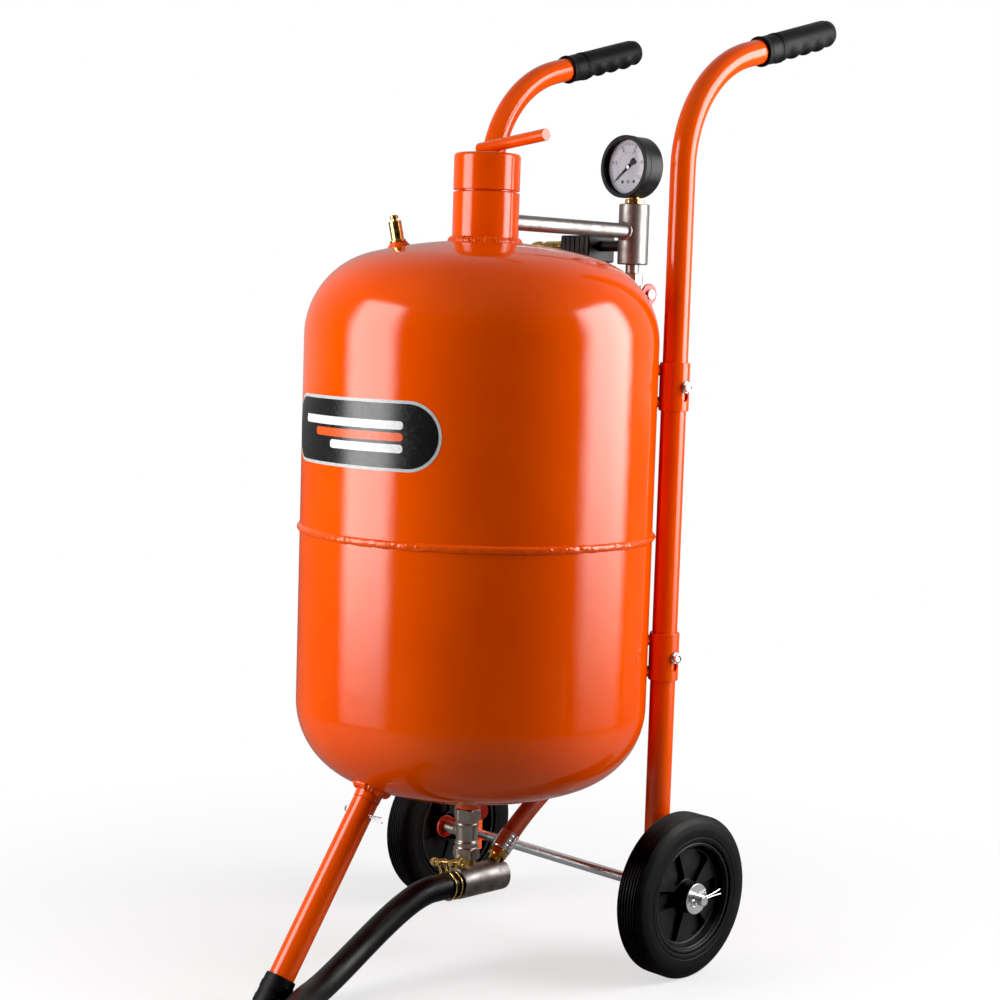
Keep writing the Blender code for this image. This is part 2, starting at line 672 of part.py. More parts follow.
def leg_frame():
    """Unit vector up the leg."""
    return Vector((0, LEG_SLOPE, 1)).normalized()


def leg_socket():
    """Stub and weld collar under the tank that carry the leg."""
    up = leg_frame()
    top = leg_point(LEG_TOP_Z)
    stub = TUBE_RADIUS - TUBE_WALL - GAP
    rings = [sweep_ring(top - 0.048 * up, up, stub - 0.001, 16),
             sweep_ring(top - 0.047 * up, up, stub, 16), sweep_ring(top - 0.004 * up, up, stub, 16),
             sweep_ring(top - 0.004 * up, up, TUBE_RADIUS + 0.001, 16),
             sweep_ring(top + 0.022 * up, up, TUBE_RADIUS + 0.0035, 16)]
    socket = skin("leg_socket", rings)
    profile = head_profile(LOWER_TANGENT_Z, LOWER_KNUCKLE, LOWER_CROWN, -1, -0.0005, 0.02)
    profile = [(TANK_RADIUS + 0.0005, LOWER_TANGENT_Z + 0.05)] + profile
    cut(socket, turned("tank_cutter", profile, 36))
    pin_start, pin_end = pin_line()
    cut(socket, rod("pin_cutter", pin_start, pin_end, 0.0025, 8))
    own_finish(socket, "orange_paint")
    place(socket, 0, 0, 0)


def pin_line():
    """Ends of the hole for the leg's split pin, which runs level across the leg."""
    middle = leg_point(LEG_PIN_Z)
    run = Vector((0.03, 0, 0))
    return middle - run, middle + run


def front_leg():
    up = leg_frame()
    bottom, top = leg_point(0.0105), leg_point(LEG_TOP_Z) - 0.0045 * up
    tube = pipe_along("front_leg", [bottom, top], TUBE_RADIUS, TUBE_RADIUS - TUBE_WALL, 16)
    pin_start, pin_end = pin_line()
    cut(tube, rod("pin_cutter", pin_start, pin_end, 0.0025, 8))
    own_finish(tube, "orange_paint")
    place(tube, 0, 0, 0)


def leg_foot():
    """Rubber boot on the leg with a flat sole on the floor."""
    up = leg_frame()
    floor_ring, sole_ring = [], []
    for point in sweep_ring(leg_point(0.0), up, 0.0170, 16):
        floor_ring.append(point - up * (point.z / up.z))
        sole_ring.append(point + up * ((0.0050 - point.z) / up.z))
    cup = leg_point(0.0105) - 0.0003 * up
    rings = [floor_ring, sole_ring, sweep_ring(leg_point(0.0300), up, 0.0165, 16),
             sweep_ring(leg_point(0.0315), up, 0.0158, 16),
             sweep_ring(leg_point(0.0315), up, TUBE_RADIUS + GAP, 16),
             sweep_ring(cup, up, TUBE_RADIUS + GAP, 16)]
    foot = skin("leg_foot", rings)
    own_finish(foot, "black_rubber")
    place(foot, 0, 0, 0)


def leg_pin():
    """Split pin with its eye on the left of the leg and its prongs on the right."""
    pin = cotter("leg_pin", 0.0154, 0.0355)
    middle = leg_point(LEG_PIN_Z)
    place(pin, 0, middle.y, middle.z, Matrix.Rotation(math.pi / 2, 3, "Y"))


# ---- air manifold ------------------------------------------------------------
def manifold_pipe():
    start, end = NECK_RADIUS - 0.0040, TEE_Y - 0.0120
    path = [Vector((0, start, PIPE_Z)), Vector((0, end, PIPE_Z))]
    pipe = pipe_along("manifold_pipe", path, PIPE_RADIUS, 0.0063, 14)
    own_finish(pipe, "machined_steel")
    place(pipe, 0, 0, 0)


def manifold_tee():
    """Bored steel block on end: gauge on top, pipe in front, filter at the side."""
    height = TEE_TOP_Z - TEE_BOTTOM_Z
    chamfer = 0.0008
    profile = [(PORT_RADIUS, 0), (TEE_RADIUS - chamfer, 0), (TEE_RADIUS, chamfer),
               (TEE_RADIUS, height - chamfer), (TEE_RADIUS - chamfer, height), (PORT_RADIUS, height)]
    tee = turned("manifold_tee", profile, 24, loop=True)
    z = PIPE_Z - TEE_BOTTOM_Z
    cut(tee, rod("pipe_cutter", Vector((0, -0.03, z)), Vector((0, -0.001, z)), PIPE_RADIUS + GAP, 14))
    z = FILTER_PORT_Z - TEE_BOTTOM_Z
    cut(tee, rod("filter_cutter", Vector((-0.03, 0, z)), Vector((-0.001, 0, z)), THREAD_RADIUS + GAP))
    own_finish(tee, "machined_steel")
    place(tee, 0, TEE_Y, TEE_BOTTOM_Z)


def gauge():
    """Pressure gauge facing forward; local Z of each piece points at the reader."""
    face = Matrix.Rotation(math.pi / 2, 3, "X")
    back_y = GAUGE_FRONT_Y + GAUGE_DEPTH
    rings = [circle(THREAD_RADIUS, TEE_TOP_Z - 0.0120, 12), circle(THREAD_RADIUS, TEE_TOP_Z + GAP, 12),
             hexagon(0.0098, TEE_TOP_Z + GAP), hexagon(0.0098, GAUGE_Z - GAUGE_RADIUS - GAP),
             circle(0.0060, GAUGE_Z - GAUGE_RADIUS - GAP, 12), circle(0.0060, GAUGE_Z - 0.0290, 12),
             circle(0.0018, GAUGE_Z - 0.0290, 12), circle(0.0018, TEE_TOP_Z - 0.0120, 12)]
    socket = skin("gauge_socket", rings, loop=True)
    own_finish(socket, "brass")
    place(socket, 0, TEE_Y, 0)

    body, bezel, lip, bore = GAUGE_RADIUS - 0.0006, GAUGE_RADIUS, 0.0302, 0.0312
    profile = [(body - 0.0015, 0), (body, 0.0015), (body, 0.0215), (bezel, 0.0220),
               (bezel, GAUGE_DEPTH - 0.0006), (bezel - 0.0006, GAUGE_DEPTH), (lip, GAUGE_DEPTH),
               (lip, GAUGE_DEPTH - 0.0014), (bore, GAUGE_DEPTH - 0.0014), (bore, 0.0020)]
    case = turned("gauge_case", profile, 28)
    stem_z = back_y - TEE_Y
    start, end = Vector((0, -GAUGE_RADIUS - 0.01, stem_z)), Vector((0, -0.0270, stem_z))
    cut(case, rod("stem_cutter", start, end, 0.0064))
    own_finish(case, "black_plastic")
    place(case, 0, back_y, GAUGE_Z, face)

    thick = 0.0008
    profile = [(0.0015, 0.0200), (0.0305, 0.0200), (0.0305, 0.0200 + thick),
               (0.0015, 0.0200 + thick)]
    dial = turned("gauge_dial", profile, 24, loop=True)
    own_finish(dial, "dial_face")
    place(dial, 0, back_y, GAUGE_Z, face)

    profile = [(0.0306, 0.0268), (0.0306, 0.0283)]
    lens = turned("gauge_lens", profile, 24)
    own_finish(lens, "clear_lens")
    place(lens, 0, back_y, GAUGE_Z, face)

    outline = []
    for along, wide in ((POINTER_LENGTH, 0.0002), (0.0020, 0.0011), (-0.0050, 0.0012),
                        (-0.0062, 0.0026), (-0.0095, 0.0026)):
        outline.append(Vector((along, wide, 0)))
    outline += [Vector((p.x, -p.y, 0)) for p in outline[::-1]]
    needle = skin("gauge_pointer", [[p + Vector((0, 0, 0.0222)) for p in outline],
                                    [p + Vector((0, 0, 0.0229)) for p in outline]])
    arbor = [(0.0009, 0.0100), (0.0009, 0.0218), (0.0026, 0.0218), (0.0026, 0.0240)]
    merge(needle, turned("arbor", arbor, 12))
    own_finish(needle, "black_plastic")
    place(needle, 0, back_y, GAUGE_Z, face @ Matrix.Rotation(POINTER_ZERO, 3, "Z"))


def square_ring(half, corner, z):
    """Rounded square of sixteen points round local Z."""
    points = []
    for quarter in range(4):
        base = quarter * math.pi / 2
        centre = Vector(((half - corner) * math.sqrt(2) * math.cos(base + math.pi / 4),
                         (half - corner) * math.sqrt(2) * math.sin(base + math.pi / 4), z))
        for step in range(4):
            angle = base + math.pi / 2 * (step + 0.5) / 4
            points.append(centre + corner * Vector((math.cos(angle), math.sin(angle), 0)))
    return points


def moisture_filter():
    """Square head with a spigot into the manifold, hanging bowl and push drain."""
    turn = math.pi / 16
    top = FILTER_TOP_Z - 0.0300
    rings = [square_ring(FILTER_HALF - 0.0012, 0.0040, FILTER_TOP_Z),
             square_ring(FILTER_HALF, 0.0045, FILTER_TOP_Z - 0.0012),
             square_ring(FILTER_HALF, 0.0045, top), circle(0.0218, top, 16, turn),
             circle(0.0218, top - 0.0110, 16, turn), circle(BOWL_RADIUS + 0.0005, top - 0.0110, 16, turn),
             circle(BOWL_RADIUS + 0.0005, top + 0.0015, 16, turn)]
    head = skin("filter_head", rings)
    z = FILTER_PORT_Z
    start, end = Vector((FILTER_HALF - 0.002, 0, z)), Vector((-FILTER_X - 0.0105, 0, z))
    merge(head, rod("spigot", start, end, THREAD_RADIUS))
    cut(head, rod("port_cutter", Vector((-0.04, 0, z)), Vector((-0.0105, 0, z)), THREAD_RADIUS + GAP))
    own_finish(head, "black_plastic")
    place(head, FILTER_X, TEE_Y, 0)

    wall = 0.0020
    profile = [(0.0032, BOWL_BOTTOM_Z), (0.0120, BOWL_BOTTOM_Z), (0.0175, BOWL_BOTTOM_Z + 0.004),
               (BOWL_RADIUS, BOWL_BOTTOM_Z + 0.0100), (BOWL_RADIUS, top), (BOWL_RADIUS - wall, top),
               (BOWL_RADIUS - wall, BOWL_BOTTOM_Z + 0.0110), (0.0150, BOWL_BOTTOM_Z + 0.0060),
               (0.0032, BOWL_BOTTOM_Z + 0.0040)]
    bowl = turned("filter_bowl", profile, 20, loop=True)
    own_finish(bowl, "black_plastic")
    place(bowl, FILTER_X, TEE_Y, 0)

    profile = [(0.0055, -0.0110), (0.0055, -0.0050), (0.0028, -0.0045), (0.0028, 0.0080),
               (0.0042, 0.0084), (0.0042, 0.0098)]
    drain = turned("filter_drain", profile, 12)
    own_finish(drain, "brass")
    place(drain, FILTER_X, TEE_Y, BOWL_BOTTOM_Z)


def inlet_plug():
    """Quick-connect plug screwed into the filter; local Z points away from it."""
    shank = 0.0100
    rings = [circle(0.0028, -shank, 12), circle(0.0063, -shank, 12), circle(0.0063, GAP, 12),
             hexagon(0.0085, GAP), hexagon(0.0085, 0.0130), circle(0.0060, 0.0140, 12),
             circle(0.0060, 0.0430, 12),
             circle(0.0046, 0.0450, 12), circle(0.0046, 0.0510, 12), circle(0.0060, 0.0530, 12),
             circle(0.0060, 0.0580, 12), circle(0.0045, 0.0660, 12), circle(0.0028, 0.0660, 12)]
    plug = skin("inlet_plug", rings, loop=True)
    own_finish(plug, "brass")
    place(plug, FILTER_X - FILTER_HALF, TEE_Y, FILTER_PORT_Z, Matrix.Rotation(-math.pi / 2, 3, "Y"))


def nipple(name, material, low, high, collar, y):
    """Short threaded connector with a collar between two faces."""
    reach, shank = 0.0085, THREAD_RADIUS
    profile = [(0.0035, low - reach), (shank, low - reach), (shank, low + GAP), (collar, low + GAP),
               (collar, high - GAP), (shank, high - GAP), (shank, high + reach), (0.0035, high + reach)]
    piece = turned(name, [(r, z - low) for r, z in profile], 16, loop=True)
    own_finish(piece, material)
    place(piece, 0, y, low)


# ---- ball valves -------------------------------------------------------------
def valve_body(name, length, flat, waist, ball, side, stem_reach, male=0.0):
    """Ball valve body, local Z along the flow, origin at the ball; the gland points
    to local X times side."""
    half = length / 2
    bore = PORT_RADIUS
    room = ball + 0.0004
    outer = [hexagon(flat, -half), hexagon(flat, -half + 0.0105),
             circle(waist, -half + 0.0125, 12), circle(waist, half - 0.0145, 12),
             hexagon(flat, half - 0.0120), hexagon(flat, half)]
    if male:
        outer += [circle(0.0101, half, 12), circle(0.0101, half + male, 12),
                  circle(bore, half + male, 12)]
    else:
        outer += [circle(bore, half, 12)]
    inner = [circle(bore, room, 12), circle(room, 0.7 * room, 12), circle(room, -0.7 * room, 12),
             circle(bore, -room, 12), circle(bore, -half, 12)]
    body = skin(name, outer + inner, loop=True)
    start = Vector((side * (waist - 0.0008), 0, 0))
    end = Vector((side * stem_reach, 0, 0))
    merge(body, rod("gland", start, end, 0.0062))
    cut(body, rod("stem_cutter", Vector((side * (ball - 0.001), 0, 0)), end * 1.3, 0.0029 + GAP))
    own_finish(body, "nickel")
    return body


def valve_ball(name, ball, along):
    """Bored ball; its through hole runs along the given local direction."""
    pole = math.asin(0.55)
    rings = []
    for i in range(7):
        angle = pole + (math.pi - 2 * pole) * i / 6
        rings.append(sweep_ring(along * ball * math.cos(angle), along, ball * math.sin(angle), 14))
    piece = skin(name, rings)
    cut(piece, rod("bore_cutter", along * -2 * ball, along * 2 * ball, 0.53 * ball, 14))
    own_finish(piece, "zinc")
    return piece


def valve_lever(name, side, ball, hub_x, reach, arm):
    """Stem, hub disc and arm in one; the arm points along the given direction."""
    thick = 0.0030
    out = Vector((side, 0, 0))
    lever = rod(name, out * (ball + GAP), out * (hub_x + 0.001), 0.0029)
    merge(lever, rod("hub", out * hub_x, out * (hub_x + thick), 0.0120, 20))
    across = Vector((1, 0, 0)).cross(arm)
    rings = []
    for x in (hub_x, hub_x + thick):
        ring = []
        upper = [(0.0, 0.0088), (0.4 * reach, 0.0062), (reach - 0.010, 0.0085),
                 (reach - 0.003, 0.0072), (reach, 0.0035)]
        lower = [(along, -wide) for along, wide in upper[::-1]]
        for along, wide in upper + lower:
            ring.append(arm * along + across * wide + out * x)
        rings.append(ring)
    merge(lever, skin("arm", rings))
    own_finish(lever, "red_vinyl")
    return lever


def air_valve():
    """Air shut-off under the manifold, drawn open with its lever hanging down."""
    z = AIR_VALVE_TOP_Z - AIR_VALVE_LENGTH / 2
    ball = 0.0086
    body = valve_body("air_valve_body", AIR_VALVE_LENGTH, 0.0110, 0.0112, ball, 1, 0.0245)
    place(body, 0, TEE_Y, z)
    place(valve_ball("air_valve_ball", ball, Vector((0, 0, 1))), 0, TEE_Y, z)
    lever = valve_lever("air_valve_lever", 1, ball, 0.0250, 0.0580, Vector((0, 0, -1)))
    place(lever, 0, TEE_Y, z)


def sand_valve():
    """Abrasive metering valve under the tank, drawn shut with its lever level."""
    z = SAND_VALVE_TOP_Z - SAND_VALVE_LENGTH / 2
    ball = 0.0094
    tilt = math.radians(8)
    arm = Vector((0, math.cos(tilt), math.sin(tilt)))
    body = valve_body("metering_valve_body", SAND_VALVE_LENGTH, 0.0130, 0.0120, ball, -1, 0.0320,
                      male=0.0150)
    place(body, 0, 0, z)
    place(valve_ball("metering_valve_ball", ball, Vector((0, 1, 0))), 0, 0, z)
    place(valve_lever("metering_valve_lever", -1, ball, 0.0325, 0.0640, arm), 0, 0, z)


# ---- blast line --------------------------------------------------------------
def mixing_tee():
    """Bored steel block under the metering valve with a hose spigot in front;
    local Z runs forward from the rear face."""
    length = MIXER_REAR_Y - MIXER_FRONT_Y
    bore, spigot, end = PORT_RADIUS, 0.0093, length + 0.0300
    profile = [(MIXER_RADIUS - 0.0012, 0), (MIXER_RADIUS, 0.0012), (MIXER_RADIUS, length - 0.0010),
               (MIXER_RADIUS - 0.0010, length), (spigot, length), (spigot, end - 0.003),
               (spigot - 0.0012, end), (bore, end), (bore, 0.0100)]
    block = turned("mixing_tee", profile, 24)
    turn = Matrix.Rotation(math.pi / 2, 4, "X")
    block.data.transform(Matrix.Translation((0, MIXER_REAR_Y, 0)) @ turn)
    cut(block, rod("sand_cutter", Vector((0, 0, 0.0010)), Vector((0, 0, 0.03)), PORT_RADIUS))
    base = Vector((0, AIR_PORT_Y, 0))
    rise = Vector((0, math.cos(AIR_PORT_TILT), math.sin(AIR_PORT_TILT)))
    face = MIXER_RADIUS / math.sin(AIR_PORT_TILT) + 0.0049
    cut(block, rod("spotface_cutter", base + face * rise, base + 0.06 * rise, 0.0119, 22))
    cut(block, rod("air_cutter", base + 0.0013 * rise, base + 0.05 * rise, PORT_RADIUS))
    own_finish(block, "machined_steel")
    place(block, 0, 0, MIXER_Z)


def hose_fitting(name):
    """Screwed hose end: shank, hexagon and crimped ferrule round the hose.
    Local Z runs from the screwed end towards the hose."""
    shank, barb, ferrule = THREAD_RADIUS, AIR_HOSE_BORE - 0.0004, AIR_HOSE_RADIUS + 0.0014
    room = AIR_HOSE_RADIUS + 0.0004
    rings = [circle(0.0035, -0.0085, 12), circle(shank, -0.0085, 12), circle(shank, GAP, 12),
             hexagon(0.0098, GAP), hexagon(0.0098, 0.0080), circle(ferrule - 0.0008, 0.0085, 12),
             circle(ferrule, 0.0110, 12), circle(ferrule, 0.0300, 12), circle(room, 0.0300, 12),
             circle(room, 0.0115, 12), circle(barb, 0.0115, 12), circle(barb, 0.0270, 12),
             circle(0.0035, 0.0270, 12)]
    return skin(name, rings, loop=True)


def air_port_matrix():
    """Seat of the lower hose fitting on the mixing tee."""
    rise = Vector((0, math.cos(AIR_PORT_TILT), math.sin(AIR_PORT_TILT)))
    spot = Vector((0, AIR_PORT_Y, MIXER_Z)) + rise * (MIXER_RADIUS / math.sin(AIR_PORT_TILT) + 0.0050)
    return spot, rise


def hose_fittings():
    upper = hose_fitting("hose_fitting_upper")
    own_finish(upper, "brass")
    place(upper, 0, TEE_Y, AIR_VALVE_TOP_Z - AIR_VALVE_LENGTH, Matrix.Rotation(math.pi, 3, "X"))
    spot, rise = air_port_matrix()
    lower = hose_fitting("hose_fitting_lower")
    own_finish(lower, "brass")
    place(lower, 0, spot.y, spot.z, Matrix.Rotation(AIR_PORT_TILT - math.pi / 2, 3, "X"))


def air_hose():
    """Rubber hose from the air valve down behind the tank to the mixing tee."""
    spot, rise = air_port_matrix()
    start = spot + rise * 0.0120
    lead = spot + rise * 0.0310
    knee = Vector((0, TEE_Y - 0.0020, 0.3300))
    low = bezier(lead, lead + rise * 0.0900, knee - Vector((0, 0, 0.1200)), knee, 7)
    end_z = AIR_VALVE_TOP_Z - AIR_VALVE_LENGTH - 0.0120
    path = [start] + low + [Vector((0, TEE_Y, end_z - 0.0500)), Vector((0, TEE_Y, end_z))]
    ends = (rise, Vector((0, 0, 1)))
    hose = pipe_along("air_hose", path, AIR_HOSE_RADIUS, AIR_HOSE_BORE, 12, ends)
    own_finish(hose, "red_rubber")
    place(hose, 0, 0, 0)


def blast_path():
    """Centre line of the blast hose: level off the tee, down to the floor, away."""
    start = Vector((0, MIXER_FRONT_Y - 0.0005, MIXER_Z))
    leave = start - Vector((0, 0.0320, 0))
    touch = Vector((0.0276, -0.2340, BLAST_HOSE_REST_Z))
    heading = Vector((0.45, -0.89, 0)).normalized()
    path = [start]
    path += bezier(leave, leave - Vector((0, 0.06, 0)), touch - 0.08 * heading, touch, 9)
    away = Vector((0.95, -0.30, 0)).normalized()
    end = Vector((0.1350, -0.3300, BLAST_HOSE_REST_Z))
    return path + bezier(touch, touch + 0.05 * heading, end - 0.05 * away, end, 6)[1:]


def blast_hose():
    path = blast_path()
    ends = (Vector((0, -1, 0)), (path[-1] - path[-2]).normalized())
    side = Vector((0, 0, 1))
    hose = pipe_along("blast_hose", path, BLAST_HOSE_RADIUS, BLAST_HOSE_BORE, 12, ends, side)
    own_finish(hose, "black_rubber")
    place(hose, 0, 0, 0)


def wire_ring(name, centre, along, major, minor):
    """Closed wire hoop."""
    rings = []
    for k in range(20):
        angle = math.tau * k / 20
        first = Vector((1, 0, 0))
        second = along.cross(first)
        out = math.cos(angle) * first + math.sin(angle) * second
        rings.append([centre + out * (major + minor * math.cos(math.tau * j / 6))
                      + along * minor * math.sin(math.tau * j / 6) for j in range(6)])
    return skin(name, rings, loop=True)


def hose_clamp():
    """Twin-wire hose clip with its cross screw above the hose."""
    middle_y = -0.0230
    run = Vector((0, -1, 0))
    centre = Vector((0, middle_y, MIXER_Z))
    major = BLAST_HOSE_RADIUS + 0.0016
    clip = wire_ring("hose_clamp", centre - 0.0040 * run, run, major, 0.0011)
    merge(clip, wire_ring("hoop", centre + 0.0040 * run, run, major, 0.0011))
    height = 0.0245
    for x in (-0.0100, 0.0100):
        low = (x - 0.0020, middle_y - 0.0058, MIXER_Z + 0.0118)
        high = (x + 0.0020, middle_y + 0.0058, MIXER_Z + height + 0.0035)
        merge(clip, box("lug", low, high))
    z = MIXER_Z + height
    rings = []
    along, across = Vector((1, 0, 0)), Vector((0, 1, 0))
    for x, size in ((-0.0260, 0.0022), (-0.0230, 0.0022), (-0.0230, 0.0042), (-0.0185, 0.0042),
                    (-0.0185, 0.0022), (0.0190, 0.0022), (0.0190, 0.0045), (0.0240, 0.0045)):
        rings.append(sweep_ring(Vector((x, middle_y, z)), along, size, 6, across))
    merge(clip, skin("screw", rings))
    tilt = Matrix.Translation((0, 0, MIXER_Z)) @ Matrix.Rotation(math.radians(-11), 4, "Y")
    clip.data.transform(tilt @ Matrix.Translation((0, 0, -MIXER_Z)))
    own_finish(clip, "brass")
    place(clip, 0, 0, 0)


# ---- assembly ----------------------------------------------------------------
def build():
    for obj in list(bpy.data.objects):
        bpy.data.objects.remove(obj)
    upper_shell()
    lower_shell()
    girth_weld()
    filler_neck()
    filler_cap()
    cap_seal()
    safety_boss()
    safety_valve()
    for side, word in ((-1, "left"), (1, "right")):
        handle_tube(side, "handle_tube_" + word)
        grip(side, "grip_" + word)
        for height, level in ((BRACKET_LOWER_Z, "lower"), (BRACKET_UPPER_Z, "upper")):
            tube_bracket(side, height, "bracket_" + level + "_" + word)
            bracket_bolt(side, height, "bolt_" + level + "_" + word)
        axle_washer(side, "washer_" + word)
        axle_cotter(side, "split_pin_" + word)
        wheel_hub(side, "wheel_hub_" + word)
        tyre(side, "tyre_" + word)
    axle()
    leg_socket()
    front_leg()
    leg_foot()
    leg_pin()
    manifold_pipe()
    manifold_tee()
    gauge()
    moisture_filter()
    inlet_plug()
    nipple("manifold_nipple", "machined_steel", AIR_VALVE_TOP_Z, TEE_BOTTOM_Z, 0.0075, TEE_Y)
    air_valve()
    sand_valve()
    mixer_top = MIXER_Z + MIXER_RADIUS
    nipple("sand_nipple", "brass", mixer_top + 0.0004, SAND_VALVE_TOP_Z - SAND_VALVE_LENGTH, 0.0085, 0)
    mixing_tee()
    hose_fittings()
    air_hose()
    blast_hose()
    hose_clamp()
    for name in FINISHES:
        if name in bpy.data.materials:
            bpy.data.materials.remove(bpy.data.materials[name])


build()
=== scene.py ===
# Portable pressure blast pot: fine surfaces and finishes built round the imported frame.
# Metres, +Z up, front of the tank towards -Y; left is -X and right is +X.
import json
import math

import bmesh
import bpy
from mathutils import Matrix, Vector, noise

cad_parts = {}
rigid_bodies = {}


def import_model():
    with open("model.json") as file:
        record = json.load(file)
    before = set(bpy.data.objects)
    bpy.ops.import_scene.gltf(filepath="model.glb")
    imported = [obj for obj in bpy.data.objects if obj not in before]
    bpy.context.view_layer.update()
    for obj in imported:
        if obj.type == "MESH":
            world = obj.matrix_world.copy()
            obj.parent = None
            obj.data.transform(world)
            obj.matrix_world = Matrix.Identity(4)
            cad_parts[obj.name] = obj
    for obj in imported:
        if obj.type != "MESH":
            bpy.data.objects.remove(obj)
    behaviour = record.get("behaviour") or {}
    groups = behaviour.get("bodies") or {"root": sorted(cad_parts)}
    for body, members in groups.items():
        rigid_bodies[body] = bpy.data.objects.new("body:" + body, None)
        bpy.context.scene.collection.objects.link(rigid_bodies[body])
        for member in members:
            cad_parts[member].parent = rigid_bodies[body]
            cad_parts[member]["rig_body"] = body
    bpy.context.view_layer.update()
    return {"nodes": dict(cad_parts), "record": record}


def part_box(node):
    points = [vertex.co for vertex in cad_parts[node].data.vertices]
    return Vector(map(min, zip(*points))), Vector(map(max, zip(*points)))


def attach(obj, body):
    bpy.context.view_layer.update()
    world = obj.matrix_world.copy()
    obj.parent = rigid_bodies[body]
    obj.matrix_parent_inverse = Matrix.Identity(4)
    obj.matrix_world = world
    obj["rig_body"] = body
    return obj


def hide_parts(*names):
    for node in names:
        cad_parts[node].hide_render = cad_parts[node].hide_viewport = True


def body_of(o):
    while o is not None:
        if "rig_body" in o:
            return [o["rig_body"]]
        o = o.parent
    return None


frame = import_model()
SLOT_OF = {row["node"]: row["material_slot"] for row in frame["record"]["subparts"]}
X, Y, Z = Vector((1, 0, 0)), Vector((0, 1, 0)), Vector((0, 0, 1))


# ---- places and sizes taken from the frame -----------------------------------
def low(node):
    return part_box(node)[0]


def high(node):
    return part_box(node)[1]


def mid(node):
    return (low(node) + high(node)) / 2


def size(node):
    return high(node) - low(node)


AXIS = Vector((mid("girth_weld").x, mid("girth_weld").y, 0.0))     # tank axis on the floor
TANK_R = size("upper_shell").x / 2
SEAM_Z = mid("girth_weld").z
NECK_R = size("filler_cap").y / 2
CAP_BOTTOM = low("filler_cap").z
CAP_TOP = CAP_BOTTOM + 0.0383
SPIGOT_R = size("cap_seal").x / 2
SPIGOT_TOP = low("cap_seal").z
NECK_TOP = CAP_BOTTOM - 0.0020
TUBE_R = size("handle_tube_right").x / 2
TUBE_X = mid("handle_tube_right").x
TUBE_Y = low("handle_tube_right").y + TUBE_R
WHEEL = mid("tyre_right")
WHEEL_R = size("tyre_right").z / 2
AXLE_R = size("axle").z / 2
TEE_Y = mid("manifold_tee").y
TEE_R = size("manifold_tee").x / 2
PIPE_Z = mid("manifold_pipe").z
PIPE_R = size("manifold_pipe").z / 2
MIXER_Z = mid("sand_nipple").z - 0.0229

# dished heads: knuckle and crown radii and where each leaves the cylinder
UPPER = {"tangent": 0.6713, "knuckle": 0.0917, "crown": 0.4680, "sense": 1}
LOWER = {"tangent": 0.2863, "knuckle": 0.0880, "crown": 0.3800, "sense": -1}
TANK_WALL = 0.0030
BEND_START = 0.8560
BEND_RADIUS = 0.1340
GRIP_SLOPE = math.radians(16.0)
GRIP_LENGTH = 0.1280
BARE_TUBE = 0.0200                # straight tube between bend and grip
LEG_SLOPE = 0.6370


# ---- outlines and paths ------------------------------------------------------
def arc(centre, radius, start, end, steps):
    """Points of an arc in an outline's own plane; angles in degrees."""
    turns = [math.radians(start + (end - start) * k / steps) for k in range(steps + 1)]
    return [(centre[0] + radius * math.cos(t), centre[1] + radius * math.sin(t)) for t in turns]


def soften(outline, radius=0.0004, steps=3, loop=False):
    """Round an outline's corners; a point may carry its own corner radius."""
    result = []
    for i, point in enumerate(outline):
        corner = Vector(point[:2])
        reach = point[2] if len(point) > 2 else radius
        if reach == 0 or (not loop and i in (0, len(outline) - 1)):
            result.append(tuple(corner))
            continue
        before = Vector(outline[i - 1][:2]) - corner
        after = Vector(outline[(i + 1) % len(outline)][:2]) - corner
        reach = min(reach, 0.45 * before.length, 0.45 * after.length)
        start = corner + reach * before.normalized()
        end = corner + reach * after.normalized()
        for k in range(steps + 1):
            t = k / steps
            result.append(tuple((1 - t) ** 2 * start + 2 * t * (1 - t) * corner + t * t * end))
    return result


def bezier(start, lead, tail, end, steps):
    points = []
    for k in range(steps + 1):
        t = k / steps
        s = 1 - t
        points.append(s ** 3 * start + 3 * s * s * t * lead + 3 * s * t * t * tail + t ** 3 * end)
    return points


def headings(path, loop=False):
    """Travel direction at each point of a path."""
    last = len(path) - 1
    result = []
    for i in range(len(path)):
        ahead = path[(i + 1) % len(path)] if loop else path[min(i + 1, last)]
        behind = path[i - 1] if loop else path[max(i - 1, 0)]
        result.append((ahead - behind).normalized())
    return result


def stand(origin, up, side=X):
    """Matrix that puts local Z along up and local X as near side as it can."""
    up = up.normalized()
    first = (side - up * side.dot(up)).normalized()
    second = up.cross(first)
    turn = Matrix((first, second, up)).transposed().to_4x4()
    return Matrix.Translation(origin) @ turn


